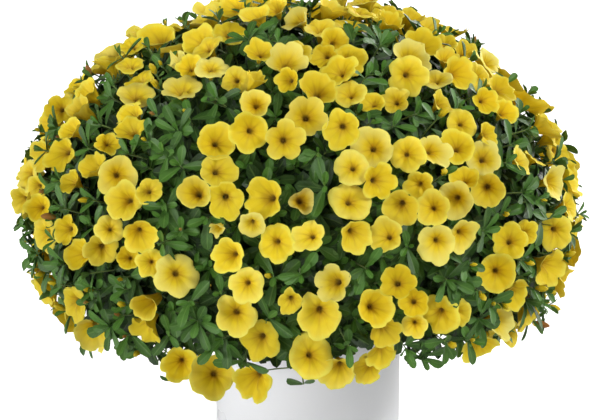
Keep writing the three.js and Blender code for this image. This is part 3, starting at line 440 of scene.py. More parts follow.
def lobe_turn(facing, centre, radius, rim):
    """A vector across the bloom towards one of its lobes' tips, from the rim corners that stand free."""
    across = Vector(facing).orthogonal().normalized()
    side = Vector(facing).cross(across)
    total = complex(0, 0)
    for corner in rim - centre:
        x, y = across.dot(corner), side.dot(corner)
        angle = atan2(y, x) + (0 if hypot(x, y) > radius * (1 + NOTCH) / 2 else pi / LOBES)
        total += complex(cos(LOBES * angle), sin(LOBES * angle))
    turn = atan2(total.imag, total.real) / LOBES
    return across * cos(turn) + side * sin(turn)


def blooms_of(node):
    """Each bloom of a bunch: its centre, facing, radius and the way to a lobe's tip."""
    corners, beside = merged(node)
    hubs = [i for i, near in enumerate(beside) if len(near) >= RIM_CORNERS]
    rims = {i: corners[sorted(beside[i])] for i in hubs}
    middles = {i: norm(corners[i] - rims[i].mean(0)) for i in hubs}
    pairs = []
    for throat in hubs:
        for root in (i for i in hubs if middles[i] > middles[throat]):
            apart = norm(rims[throat][:, None] - rims[root][None], axis=2).min(1)
            pairs.append((int((apart < WEB).sum()), throat, root))
    found, used = [], set()
    for shared, throat, root in sorted(pairs, reverse=True):
        if shared < SHARED_LEAST or throat in used or root in used:
            continue
        used |= {throat, root}
        axis = corners[throat] - corners[root]
        radius = norm(axis) / (TUBE - THROAT)
        facing = axis / norm(axis)
        centre = corners[throat] + THROAT * radius * facing
        found.append((centre, facing, radius, lobe_turn(facing, centre, radius, rims[throat])))
    return found


rng = np.random.default_rng(11)
blooms = [(k, *bloom) for k, node in enumerate(bunches) for bloom in blooms_of(node)]
bloom_bunch, centres, facings, bloom_radii, lobe_tips = map(np.array, zip(*blooms))
nods = rng.uniform(-NOD, NOD, facings.shape)
nods[:, 2] += np.interp(centres[:, 2], LOOK_HEIGHTS, LOOK_UP)
facings = unit(facings + nods)
lobe_tips = unit(lobe_tips - (lobe_tips * facings).sum(1, keepdims=True) * facings)
bloom_radii = bloom_radii * FULLNESS
roots = centres - facings * (TUBE * bloom_radii)[:, None]

# ---- Where the shoots stand --------------------------------------------------------------------------
# Leafy side shoots fill the mound. Those in the open between blooms end at its surface in a rosette, and
# those under the blooms stay short. Their leaves turn by the golden angle, larger and wider apart below.

GOLDEN_ANGLE = pi * (3 - sqrt(5))
SHOOTS, LOWEST, SWERVE = 1000, -0.9, 0.05
HEART_RISE, SOFTNESS = 24 * MM, 0.012
FOOT_DEPTH, HUB_DEPTH, HUB_SHARE, BRANCH_BOW = 46 * MM, 72 * MM, 0.45, 6 * MM
CROWDED, NEAR_FACE, OPEN_LEAST, SHOOT_LEAST = 15 * MM, 25 * MM, 1.5 * MM, 20 * MM
FAR_OUT, FAR_UP = 1.0, 9.0  # where no bloom is near: in metres, and as a slope
OPEN_DEPTHS, HIDDEN_DEPTHS = (-4, 5), (19, 27)  # millimetres below the mound's surface
SKIRT_SPAN, SKIRT_LEAST = radians(25), radians(4)
LEAF_STEP, ROSETTE_STEP, ROSETTE, BARE_FOOT = 5.2 * MM, 1.1 * MM, 6, 6 * MM
LEAF_LEAST, LEAF_MORE, LEAF_MOST = 8 * MM, 3.0 * MM, 23 * MM
SHOOT_LEAN, SHOOT_RISE = 0.28, 0.22
CAD_TIP_WIDTH, CAD_ROSETTE = 4 * MM, 8 * MM

boxes = [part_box(name) for name in bunches]
mound_low = Vector([min(low[i] for low, _ in boxes) for i in range(3)])
mound_high = Vector([max(high[i] for _, high in boxes) for i in range(3)])
mound_middle = (mound_low + mound_high) / 2
heart = np.array([mound_middle.x, mound_middle.y, mix_high.z + HEART_RISE])
bloom_ways = unit(centres - heart)
bloom_reaches = norm(centres - heart, axis=1)


def reach_towards(ways):
    """How far the mound reaches from its heart, by the blooms that lie nearest to each way."""
    near = np.exp((ways @ bloom_ways.T - 1) / SOFTNESS)
    return (near * bloom_reaches).sum(1) / near.sum(1)


def depth_of(points):
    """How far below the mound's surface points lie."""
    rays = points - heart
    return reach_towards(unit(rays)) - norm(rays, axis=1)


def slopes(rays):
    """How steeply rays rise from the heart, and which way they point on the level."""
    level = np.hypot(rays[:, 0], rays[:, 1])
    return np.arctan2(rays[:, 2], level), np.arctan2(rays[:, 1], rays[:, 0])


bloom_slopes, bloom_turns = slopes(bloom_ways)


def over_skirt(points):
    """How far points lie above the slope of the lowest blooms near them."""
    rises, turns = slopes(points - heart)
    apart = np.abs((turns[:, None] - bloom_turns[None] + pi) % (2 * pi) - pi)
    lowest = np.where(apart < SKIRT_SPAN, bloom_slopes[None], FAR_UP).min(1)
    return rises - lowest


def cad_leaves(node):
    """The base, tip and upper side of each leaf of a leafy stem's solid."""
    corners, beside = merged(node)
    found = []
    for tip, near in enumerate(beside):
        if len(near) != 3:
            continue
        edges = sorted(near, key=lambda i: len(beside[i]))
        left, right, keel = corners[edges[0]], corners[edges[1]], corners[edges[2]]
        inner = list(beside[edges[2]] - near - {tip})
        if norm(left - right) < CAD_TIP_WIDTH or not inner:
            continue
        found.append((corners[inner].mean(0), corners[tip], unit((left + right) / 2 - keel)))
    return found


def spiral_ways(count):
    """Ways spread evenly over the mound, from its top down to the skirt."""
    up = 1 - (np.arange(count) + 0.5) / count * (1 - LOWEST)
    angle = np.arange(count) * GOLDEN_ANGLE + rng.uniform(-SWERVE, SWERVE, count)
    flat = np.sqrt(1 - up**2)
    rise = np.where(up > 0, mound_high.z - heart[2], heart[2] - mound_low.z) / (mound_high.x - heart[0])
    return unit(np.stack([flat * np.cos(angle), flat * np.sin(angle), up * rise], axis=1))


def about_blooms(points):
    """How far points lie before each bloom's face and out from its middle line, in its radii."""
    away = points[:, None] - centres[None]
    forward = (away * facings[None]).sum(2)
    out = np.sqrt(np.maximum((away**2).sum(2) - forward**2, 0))
    return forward / bloom_radii, out / bloom_radii


def in_the_open(points):
    """How far each surface point lies outside the nearest bloom's rim, negative under a bloom."""
    forward, out = about_blooms(points)
    return np.where(np.abs(forward * bloom_radii) < NEAR_FACE, (out - 1) * bloom_radii, FAR_OUT).min(1)


class Shoot:
    """One shoot: its tip, the way that it grows, its length, the leaves that it starts with and its room."""

    def __init__(self, tip, way, length, leaves=(), room=0.0):
        self.tip, self.way, self.length, self.leaves = tip, way, length, list(leaves)
        self.foot, self.room = tip - way * length, room


shoots = []
for node in leafy:
    loose = cad_leaves(node)
    while loose:
        first = loose[0][0]
        own = [leaf for leaf in loose if norm(leaf[0] - first) < CAD_ROSETTE]
        loose = [leaf for leaf in loose if norm(leaf[0] - first) >= CAD_ROSETTE]
        tip = np.mean([leaf[0] for leaf in own], axis=0)
        way = unit(np.sum([leaf[2] for leaf in own], axis=0) + 0.5 * unit(tip - heart))
        length = max(FOOT_DEPTH - depth_of(tip[None])[0], SHOOT_LEAST)
        shoots.append(Shoot(tip, way, length, own))

ways = spiral_ways(SHOOTS)
surface = heart + ways * reach_towards(ways)[:, None]
openness = in_the_open(surface)
above_skirt = over_skirt(surface) > SKIRT_LEAST
taken = np.array([shoot.tip for shoot in shoots])
for way, spot, free in zip(ways[above_skirt], surface[above_skirt], openness[above_skirt]):
    depth = rng.uniform(*(OPEN_DEPTHS if free > OPEN_LEAST else HIDDEN_DEPTHS)) * MM
    lean = rng.uniform(-1, 1, 3) * SHOOT_LEAN + np.array([0, 0, SHOOT_RISE])
    tip = spot - way * depth
    if norm(taken - tip, axis=1).min() < CROWDED:
        continue
    shoots.append(Shoot(tip, unit(way + lean), FOOT_DEPTH - depth, room=free))

stem_corners = [merged(name)[0] for name in leafy]
stem_index = np.concatenate([np.full(len(corners), k) for k, corners in enumerate(stem_corners)])
stem_corners = np.concatenate(stem_corners)


def stem_near(points):
    """Which leafy stem has the solid that lies nearest to each point."""
    return np.array([stem_index[((stem_corners - p) ** 2).sum(1).argmin()] for p in points])


shoot_stems = stem_near([shoot.foot for shoot in shoots])
hubs = []
for k in range(len(leafy)):
    way = unit(np.mean([shoot.foot for shoot, stem in zip(shoots, shoot_stems) if stem == k], axis=0) - heart)
    hubs.append(heart + way * (reach_towards(way[None])[0] - HUB_DEPTH))
for shoot, stem in zip(shoots, shoot_stems):
    outwards = unit(hubs[stem] - heart)
    shoot.bend = between(hubs[stem], shoot.foot, HUB_SHARE) - outwards * BRANCH_BOW

# ---- The leaves --------------------------------------------------------------------------------------
# Small narrow leaves, broadest past the middle and blunt, folded a little along the midrib and arched
# back. They are thin, satin and finely hairy, and sit straight on the shoots without a stalk.

LEAF_FORMS, PLAIN_FORMS, LEAF_SEED, PLAIN_SEED = 8, 3, 300, 350
LEAF_HALF, LEAF_THICK = 0.195, 0.016
ARCHES, FOLDS, SWEEPS, RIPPLES, BREADTHS = (-0.3, 0.06), (0.15, 0.5), (-0.09, 0.09), (0.0, 0.02), (0.88, 1.12)
STATIONS = ((0.1, 0.26), (0.33, 0.66), (0.6, 0.97), (0.81, 0.96), (0.94, 0.6))  # along, width share
PLAIN_STATIONS = ((0.15, 0.38), (0.58, 1.0), (0.88, 0.78))
PROBES = (0.45, 0.75, 1.0)  # the shares of a leaf's length that keep clear of blooms
SPREAD_FIRST, SPREAD_STEP, SPREAD_MOST, SPREAD_JITTER = 14, 13, 84, 8  # degrees off the shoot
# Leaf tones: each leaf further down a shoot, deeper in the mound, is set darker, and inner leaves darkest, as
# painted shade.
TONE_FIRST, PAINTED_SHADE_STEP, TONE_JITTER, CAD_TONES, INNER_PAINTED_SHADE = 0.9, 0.16, 0.25, (-0.2, 0.5), -0.9
TURN_JITTER, LEAF_SIZES, CAD_PLACE = 0.2, (0.85, 1.12), 4  # the solid's leaves stand in from this place on
INNER_DEPTH, OLDEST_DEPTH = 17 * MM, 40 * MM
SHOOT_LEAVES, BRANCH_LEAVES, INNER_SIZE = 4, 3, 28 * MM
INNER_FROM, INNER_LIFTS, INNER_SIZES = 0.45, (-0.1, 0.7), (0.8, 1.1)
TUBE_WIDTH, FLARE, CLEARANCE, FACE_AHEAD = 0.2, 1.9, 0.06, (0.04, 1.2)  # in shares of a bloom's radius
BATCH = 4000
LEAF_FLUTTER, LEAF_RIPPLE = 1.6 * MM, 14 * MM
# The first of each three colours is the darkest tone, which the inner leaves take as painted shade.
LEAF_CODES, LEAF_UNDER_CODES = ("#223a18", "#507f2b", "#7ea350"), ("#34501f", "#648d40", "#9dbb74")
LEAF_GLOW, RIB_SLANT, RIB_WAVES = "#5f8f24", 0.55, 44.0


def leaf_form(k, plain):
    """A leaf of length 1 along Y with its upper side up, as one thin closed skin."""
    draw = np.random.default_rng(k + (PLAIN_SEED if plain else LEAF_SEED))
    arch, fold, bend = draw.uniform(*ARCHES), draw.uniform(*FOLDS), draw.uniform(*SWEEPS)
    wave, broad = draw.uniform(*RIPPLES), draw.uniform(*BREADTHS)

    def point(along, across, lower=0.0):
        half = LEAF_HALF * broad * across
        height = arch * along**2 + fold * abs(half) + wave * sin(9 * along + 2 * k) * abs(across)
        return (half + bend * along**2, along, height - lower * LEAF_THICK)

    stations = PLAIN_STATIONS if plain else STATIONS
    rings = [[point(0, 0)]]
    for along, width in stations:
        edge = [-width, 0, width] if plain else [-width, -width / 2, 0, width / 2, width]
        rings.append([point(along, x) for x in edge] + [point(along, 0, 1.0)])
    rings.append([point(1, 0)])
    along = [0, *[station[0] for station in stations], 1]
    around = [0, 0.5, 1, 0.5, 0] if plain else [0, 0.25, 0.5, 0.75, 1, 0.5, 0]
    form = bmesh.new()
    add_skin(form, rings, along, lambda span, column: int(column >= len(around) - 3), around, along)
    return form


kinds = [(k, False) for k in range(LEAF_FORMS)] + [(k, True) for k in range(PLAIN_FORMS)]
leaf_forms = forms_in("leaf", [leaf_form(*kind) for kind in kinds])


def placed(x_way, y_way, z_way):
    """The turn that carries the X, Y and Z axes onto three square ways."""
    return Matrix(np.array([x_way, y_way, z_way]).T).to_quaternion()


def leaf_spot(base, tip, above, tone):
    """Where one leaf goes, from its base, its tip and its upper side."""
    along = unit(tip - base)
    across = unit(np.cross(along, above))
    spot = {"at": base, "turn": placed(across, along, np.cross(across, along)), "size": norm(tip - base)}
    return {**spot, "tone": tone, "probes": [base + (tip - base) * share for share in PROBES]}


def leaves_on(shoot):
    """The leaves of a shoot from its tip down: a close rosette, then single leaves down the stem."""
    across = unit(np.cross(shoot.way, [0.3, 0.5, 0.8]))
    side = np.cross(shoot.way, across)
    turn = rng.uniform(0, 6.28)
    spots = [leaf_spot(*leaf, rng.uniform(*CAD_TONES)) for leaf in shoot.leaves]
    count = ROSETTE + int(max(0, shoot.length - BARE_FOOT) / LEAF_STEP)
    for k in range(count):
        drop = k * ROSETTE_STEP if k < ROSETTE else ROSETTE * ROSETTE_STEP + (k - ROSETTE) * LEAF_STEP
        if CAD_PLACE <= k < CAD_PLACE + len(shoot.leaves):
            continue
        angle = turn + k * GOLDEN_ANGLE + rng.uniform(-TURN_JITTER, TURN_JITTER)
        out = across * cos(angle) + side * sin(angle)
        spread = min(SPREAD_FIRST + SPREAD_STEP * k, SPREAD_MOST) + rng.uniform(-SPREAD_JITTER, SPREAD_JITTER)
        spread = radians(spread)
        along = unit(shoot.way * cos(spread) + out * sin(spread))
        above = shoot.way * sin(spread) - out * cos(spread)
        length = min(LEAF_LEAST + LEAF_MORE * k, LEAF_MOST) * rng.uniform(*LEAF_SIZES)
        base = shoot.tip - shoot.way * drop
        # Painted shade: each leaf further down the shoot, deeper in the mound, is set darker.
        tone = TONE_FIRST - PAINTED_SHADE_STEP * k + rng.uniform(-TONE_JITTER, TONE_JITTER)
        spots.append(leaf_spot(base, base + along * length, above, max(tone, -1.0)))
    return spots


def inner_leaves(shoot):
    """Plain leaves low on a shoot and on the branch that bears it, turned every way, painted dark as shade.
    """
    bases = [between(shoot.foot, shoot.tip, share) for share in rng.uniform(INNER_FROM, 1, SHOOT_LEAVES)]
    bases += [between(shoot.foot, shoot.bend, share) for share in rng.uniform(0, 1, BRANCH_LEAVES)]
    spots = []
    for base in bases:
        above = unit(base - heart)
        along = unit(np.cross(above, rng.uniform(-1, 1, 3)) + above * rng.uniform(*INNER_LIFTS))
        tip = base + along * INNER_SIZE * rng.uniform(*INNER_SIZES)
        # Inner leaves get the darkest tone as painted shade.
        spots.append(leaf_spot(base, tip, above, INNER_PAINTED_SHADE))
    return spots


def clear_of_blooms(probes):
    """True for each point that is neither inside a trumpet nor close before its face."""
    clear = np.ones(len(probes), bool)
    for start in range(0, len(probes), BATCH):
        forward, out = about_blooms(probes[start : start + BATCH])
        cone = np.clip(1 + FLARE * forward, TUBE_WIDTH, 1.0) + CLEARANCE
        inside = (forward <= FACE_AHEAD[0]) & (forward > -TUBE) & (out < cone)
        before = (forward > FACE_AHEAD[0]) & (forward < FACE_AHEAD[1]) & (out < 1.0)
        clear[start : start + BATCH] = ~(inside | before).any(1)
    return clear


leaf_spots, leaf_shoots = [], []
for k, shoot in enumerate(shoots):
    own = leaves_on(shoot) + inner_leaves(shoot)
    leaf_spots += own
    leaf_shoots += [k] * len(own)
clear = clear_of_blooms(np.array([probe for spot in leaf_spots for probe in spot["probes"]]))
clear = clear.reshape(-1, len(PROBES)).all(1)
clear &= over_skirt(np.array([spot["probes"][2] for spot in leaf_spots])) > 0
leaf_depths = depth_of(np.array([spot["probes"][1] for spot in leaf_spots]))
for k, spot in enumerate(leaf_spots):
    inner = leaf_depths[k] > INNER_DEPTH
    spot["form"] = LEAF_FORMS + k % PLAIN_FORMS if inner else k % LEAF_FORMS
    spot["age"] = float(np.clip(leaf_depths[k] / OLDEST_DEPTH, 0, 1))
leaf_spots = [(k, spot) for k, spot, free in zip(leaf_shoots, leaf_spots, clear) if free]

# A shoot ends where its topmost leaf sits.
for k, shoot in enumerate(shoots):
    bases = np.array([spot["at"] for owner, spot in leaf_spots if owner == k] or [shoot.foot])
    shoot.end = bases[norm(bases - shoot.tip, axis=1).argmin()]


def planted(name, spots, tree, forms, flutter, ripple, seed):
    """A plain mesh object with one of the forms on each spot, placed and told apart by its values."""
    mesh = bpy.data.meshes.new(name)
    mesh.from_pydata([tuple(spot["at"]) for spot in spots], [], [])
    kinds = {"turn": "QUATERNION", "size": "FLOAT", "form": "INT", "tone": "FLOAT", "age": "FLOAT"}
    for key, kind in kinds.items():
        values = np.array([spot[key] for spot in spots], dtype=int if kind == "INT" else float)
        mesh.attributes.new(key, kind, "POINT").data.foreach_set("value", values.ravel())
    values = {"Forms": forms, "Flutter": flutter, "Ripple Size": ripple, "Seed": seed}
    return grown(in_scene(name + "_spots", mesh), tree, name, values)


def placing_tree(name, materials):
    """A tree that puts a form on each point, turned and sized by it, and lets its free edges flutter."""
    inputs = [("Forms", "Collection"), ("Flutter", "Float"), ("Ripple Size", "Float"), ("Seed", "Float")]
    tree, given = start_tree(name, inputs)
    points = {"Rotation": named(tree, "turn", "QUATERNION"), "Scale": named(tree, "size", "FLOAT")}
    points["Instance Index"] = named(tree, "form", "INT")
    copies = copies_of(tree, given["Forms"], given["Geometry"], points)
    scale = worked("DIVIDE", 1.0, given["Ripple Size"])
    sockets = {"W": given["Seed"], "Scale": scale, "Detail": 1.0}
    ripple = socket(tree, "ShaderNodeTexNoise", sockets, noise_dimensions="4D", at="Color")
    swing = socket(tree, "ShaderNodeVectorMath", {0: ripple, 1: (0.5, 0.5, 0.5)}, operation="SUBTRACT")
    amount = times(named(tree, "free", "FLOAT"), given["Flutter"])
    swing = socket(tree, "ShaderNodeVectorMath", {0: swing, "Scale": amount}, operation="SCALE")
    copies = socket(tree, "GeometryNodeSetPosition", {"Geometry": copies, "Offset": swing})
    end_tree(tree, copies, materials)
    return tree


def varies(tree, name):
    """A value that each copy carries in its own attribute."""
    return socket(tree, "ShaderNodeAttribute", attribute_name=name, at="Fac")


def over_form(tree):
    """How far round its form and how far along it each point lies, from 0 to 1."""
    uv = socket(tree, "ShaderNodeUVMap", uv_map="UVMap")
    return put(tree, "ShaderNodeSeparateXYZ", {0: uv}).outputs[:2]


def end_thin(tree, base, roughness, normal, sheen, through, glow):
    """Ends a thin leaf's or petal's material: a soft surface that passes part of the light."""
    sockets = {"Base Color": base, "Roughness": roughness, "Normal": normal, "Sheen Weight": sheen}
    sockets.update({"Sheen Roughness": 0.4, "Specular IOR Level": 0.3})
    surface = socket(tree, "ShaderNodeBsdfPrincipled", sockets)
    behind = socket(tree, "ShaderNodeBsdfTranslucent", {"Color": glow})
    mixed = socket(tree, "ShaderNodeMixShader", {0: through, 1: surface, 2: behind})
    put(tree, "ShaderNodeOutputMaterial", {"Surface": mixed})


tree, given = start_effect("blade_marks", [("Dark", "Color"), ("Light", "Color"), ("Rib", "Color")])
turns, share = over_form(tree)
off = worked("ABSOLUTE", minus(turns, 0.5))
midrib = eased(off, 0.11, 0.0)
slanted = minus(share, times(off, RIB_SLANT))
ribs = worked("SINE", times(slanted, RIB_WAVES))
side_ribs = times(eased(ribs, 0.75, 1.0), 0.3)
veins = worked("MAXIMUM", midrib, side_ribs)
# The tone holds painted shade, with leaves deeper in the mound set darker. The noise adds random tone.
tone = eased(varies(tree, "tone"), -1.1, 1.1)
patchy = minus(mottle(tree, 7 * MM), 0.5)
tone = worked("ADD", tone, times(patchy, 0.5))
base = blended(tree, tone, given["Dark"], given["Light"])
base = blended(tree, times(veins, 0.3), base, given["Rib"])
fine = times(mottle(tree, 0.9 * MM), 0.5)
blade_marks = end_effect(tree, {"Color": base, "Height": minus(fine, veins)})


def leaf_material(name, codes, gloss):
    """A leaf's one side: paler midrib, faint side veins, a random tone, and painted shade deeper in the
    mound.
    """
    made, tree = new_material(name)
    marks = effect(tree, blade_marks, dict(zip(("Dark", "Light", "Rib"), map(colour, codes))))
    glow = blended(tree, 0.4, marks["Color"], colour(LEAF_GLOW))
    end_thin(tree, marks["Color"], gloss, raised(marks["Height"], 0.12 * MM), 0.04, 0.1, glow)
    return made


leaf_upper = leaf_material("leaf_upper", LEAF_CODES, 0.42)
leaf_under = leaf_material("leaf_under", LEAF_UNDER_CODES, 0.6)

leaf_tree = placing_tree("place_leaves", [leaf_upper, leaf_under])
for k, node in enumerate(leafy):
    own = [spot for owner, spot in leaf_spots if shoot_stems[owner] == k]
    leaves = planted(f"leaves_{k + 1:02d}", own, leaf_tree, leaf_forms, LEAF_FLUTTER, LEAF_RIPPLE, 2.0)
    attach(leaves, "root")
    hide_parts(node)

# ---- The stems and stalks ----------------------------------------------------------------------------
# Twelve main stems root in the mix and arch out under the foliage. Thin branches run from each to its
# shoots, and a finer stalk carries every bloom. All are soft and green, thinner towards the tips.

MAIN_THICK, MAIN_THIN, STALK_THICK = 2.6 * MM, 1.7 * MM, 0.55 * MM
BRANCH_THICK, BRANCH_THIN, SHOOT_THIN = 1.2 * MM, 0.9 * MM, 0.6 * MM
FOOT_SINK, FOOT_RISE, STEM_RISE, HUB_LIFT = 12 * MM, 20 * MM, 45 * MM, 22 * MM
BARE_LEAST, SWAY, STALK_LEAD, STALK_SINK = 2 * MM, 1.5 * MM, 12 * MM, 1 * MM
STEM_CODES = ("#4f6b2c", "#86a14a")
stem_paths = []


def add_path(points, start, end):
    """Keeps a stem's route, with its thickness at either end."""
    share = np.linspace(0, 1, len(points))
    stem_paths.append((points, start + (end - start) * share))


def stem_foot(corners):
    """Where a leafy stem goes into the mix."""
    near = corners[np.hypot(corners[:, 0], corners[:, 1]) < mix_radius - 2 * MM]
    low = near[near[:, 2] < mix_high.z - FOOT_SINK]
    return np.array([*low[:, :2].mean(0), mix_high.z - FOOT_SINK])


up = np.array([0, 0, 1.0])
for k, hub in enumerate(hubs):
    foot = stem_foot(stem_corners[stem_index == k])
    rise = foot + up * STEM_RISE
    over = between(rise, hub, HUB_SHARE) + up * HUB_LIFT
    add_path([foot, foot + up * FOOT_RISE, rise, over, hub], MAIN_THICK, MAIN_THIN)
    for shoot in [shoot for shoot, stem in zip(shoots, shoot_stems) if stem == k]:
        add_path([hub, shoot.bend, shoot.foot], BRANCH_THICK, BRANCH_THIN)
        if norm(shoot.end - shoot.foot) > BARE_LEAST:
            sway = unit(np.cross(shoot.way, up + 0.1)) * SWAY
            middle = between(shoot.foot, shoot.end) + sway
            add_path([shoot.foot, middle, shoot.end], BRANCH_THIN, SHOOT_THIN)

shoot_middles = np.array([between(shoot.foot, shoot.end, 0.6) for shoot in shoots])
for root, facing in zip(roots, facings):
    joint = shoot_middles[((shoot_middles - (root - facing * STALK_LEAD)) ** 2).sum(1).argmin()]
    back = root - facing * 0.3 * norm(root - joint)
    add_path([joint, between(joint, back), back, root + facing * STALK_SINK], STALK_THICK, STALK_THICK)

grain = (0.7 * MM, 3.0, 0.2 * MM)
stem_green = mottled("stem_green", STEM_CODES, 12 * MM, 0.55, grain, 4.0, sheen=0.2)

tree, given = start_tree("stems_along_paths", [("Sides", "Int"), ("Steps", "Int")])
curves = socket(tree, "GeometryNodeMeshToCurve", {"Mesh": given["Geometry"]})
curves = socket(tree, "GeometryNodeCurveSplineType", {"Curve": curves}, spline_type="CATMULL_ROM")
curves = socket(tree, "GeometryNodeSetSplineResolution", {"Geometry": curves, "Resolution": given["Steps"]})
section = socket(tree, "GeometryNodeCurvePrimitiveCircle", {"Resolution": given["Sides"], "Radius": 1.0})
sockets = {"Curve": curves, "Profile Curve": section, "Fill Caps": True}
sockets["Scale"] = named(tree, "thick", "FLOAT")
end_tree(tree, socket(tree, "GeometryNodeCurveToMesh", sockets), [stem_green])

mesh = bpy.data.meshes.new("stem_routes")
route_points = [tuple(p) for points, _ in stem_paths for p in points]
starts = np.cumsum([0, *[len(points) for points, _ in stem_paths]])
edges = [(i, i + 1) for a, b in zip(starts, starts[1:]) for i in range(a, b - 1)]
mesh.from_pydata(route_points, edges, [])
thick = np.concatenate([radii for _, radii in stem_paths])
mesh.attributes.new("thick", "FLOAT", "POINT").data.foreach_set("value", thick)
stems = grown(in_scene("stem_routes", mesh), tree, "stems_and_stalks", {"Sides": 4, "Steps": 2})
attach(stems, "root")
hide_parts(*leafy)

# ---- The blooms --------------------------------------------------------------------------------------
# Five petals grown together into a funnel with a small dark throat, its own olive-brown with painted shade
# deep in the tube, a wavy rim with shallow notches, a pleat along each petal and a fold in the lowest one. A
# green calyx with five narrow sepals holds the tube.

OPEN_FORMS, HALF_FORMS, SPENT_FORMS, BUD_FORMS = 14, 4, 2, 2
BLOOM_SEED, BUD_SEED, DRAWN_IN, STARRY = 900, 700, 0.16, 0.16
WITHERED, BUDS = OPEN_FORMS + HALF_FORMS, OPEN_FORMS + HALF_FORMS + SPENT_FORMS
COLUMNS = 30
BACK = ((0.075, -1.27), (0.13, -0.98), (0.21, -0.68), (0.33, -0.46), (0.57, -0.24), (0.87, -0.06))
RIM = (1.0, -0.012)
FRONT = (
    (0.955, 0.0), (0.85, -0.03), (0.68, -0.1), (0.51, -0.19), (0.37, -0.31), (0.25, -0.42), (0.16, -0.53),
    (0.1, -0.7),
)
TUBE_END, THROAT_END, LIMB = -1.3, -0.86, 0.2  # the tube opens into the limb at this share of the radius
NOTCHES, CUPS, WAVES = (0.08, 0.2), (-0.18, 0.28), (0.03, 0.065)
LOBE_SIZES, LOBE_TILTS = (-0.1, 0.05), (-0.18, 0.18)
CREASE_WIDTH, CREASE_DEPTH, SEAM_DEPTH = 0.3, 0.05, 0.05
PLEATS, PLEAT_PLACE, PLEAT_WIDTH = (0.03, 0.075), 0.24, 0.2
LIPS, LIP_PLACE, LIP_WIDTH, LIP_TURN = (0.12, 0.28), 0.12, 0.2, 0.4  # the lowest lobe's fold
CLOSED, CRUMPLE_WAVE, CRUMPLE_PULL = radians(78), 0.12, 0.3
BENDS, BEND_TURN = (0.08, 0.26), 0.9
CALYX_CUP, CALYX_COLUMNS = ((0.085, -1.36), (0.125, -1.26), (0.135, -1.12), (0.11, -1.04)), 10
SEPAL_LENGTHS, SEPAL_SPREADS, SEPAL_STATIONS = (0.34, 0.46), (0.35, 0.8), ((0.35, 0.05), (0.75, 0.04))
ANTHER_SIZE, ANTHER_OFF, ANTHER_DEPTH = 0.028, 0.045, 0.58
BUD_PROFILE = ((0.1, -1.2), (0.16, -1.0), (0.19, -0.78), (0.17, -0.56), (0.09, -0.4))
BUD_COLUMNS, BUD_PLEAT, BUD_TWIST, BUD_TIP = 10, 0.16, 1.2, -0.3
PETAL_FRONT, PETAL_BACK, CALYX, ANTHER = range(4)


def freedom(radius):
    """How free of the tube a petal is at a radius: 0 up to the limb's start and 1 at the rim."""
    return min(max((radius - LIMB) / (1 - LIMB), 0), 1)


def corolla_rings(draw, opening, crumple, starry):
    """The rings of a bloom of radius 1 that faces up, from its tube's end over the rim into the throat."""
    notch, cup, wave = draw.uniform(*NOTCHES) + starry, draw.uniform(*CUPS), draw.uniform(*WAVES)
    sizes, tilts = draw.uniform(*LOBE_SIZES, LOBES), draw.uniform(*LOBE_TILTS, LOBES)
    phases, pleat, lip = draw.uniform(0, 6.28, 4), draw.uniform(*PLEATS), draw.uniform(*LIPS)
    lift = CLOSED * (1 - opening)

    def lobe_value(values, angle):
        place = angle / (2 * pi) * LOBES
        first = floor(place) % LOBES
        share = place - floor(place)
        share = share * share * (3 - 2 * share)
        return values[first] * (1 - share) + values[(first + 1) % LOBES] * share

    def point(radius, height, angle):
        free = freedom(radius)
        between = 1 - abs(cos(LOBES / 2 * angle))
        radius *= 1 - notch * between**1.6 * free**3
        radius *= 1 + free * lobe_value(sizes, angle)
        crease = exp(-((sin(LOBES / 2 * angle) / CREASE_WIDTH) ** 2))
        height -= CREASE_DEPTH * crease * free * (1.15 - free) * 2
        pleated = exp(-(((free - PLEAT_PLACE) / PLEAT_WIDTH) ** 2))
        height += pleat * cos(LOBES * angle) * pleated
        off = min(angle, 2 * pi - angle)
        height += lip * exp(-((off / LIP_TURN) ** 2) - ((free - LIP_PLACE) / LIP_WIDTH) ** 2)
        height -= SEAM_DEPTH * between**2 * free * (1.1 - free) * 2
        height += free**2 * lobe_value(tilts, angle) + cup * free**2
        for k, phase in enumerate(phases):
            height += (wave + CRUMPLE_WAVE * crumple) * free**2 * sin((2 * k + 3) * angle + phase)
        arm = max(radius - LIMB, 0)
        pull = 1 - CRUMPLE_PULL * crumple * sin(3 * angle + phases[0])
        radius = min(radius, LIMB) + arm * cos(lift) * pull
        return (radius * cos(angle), radius * sin(angle), height + arm * sin(lift))

    turns = [2 * pi * j / COLUMNS for j in range(COLUMNS)]
    profile = [*BACK, RIM, *FRONT]
    rings = [[point(r, z, a) for a in turns] for r, z in profile]
    return [[(0, 0, TUBE_END)], *rings, [(0, 0, THROAT_END)]], [0, *[freedom(r) ** 2 for r, _ in profile], 0]


def profile_shares():
    """How far along the petal each ring lies: 0 at the end of the tube and 1 at the rim, on either side."""
    sides = [[(0, TUBE_END), *BACK, RIM], [RIM, *FRONT, (0, THROAT_END)]]
    steps = [[dist(a, b) for a, b in zip(side, side[1:])] for side in sides]
    outer, inner = [np.cumsum([0, *step]) / sum(step) for step in steps]
    return [*outer, *(1 - inner)[1:]]


def petal_side(span, column):
    """The petals' outer side up to the rim, and their inner side past it."""
    return PETAL_BACK if span <= len(BACK) else PETAL_FRONT


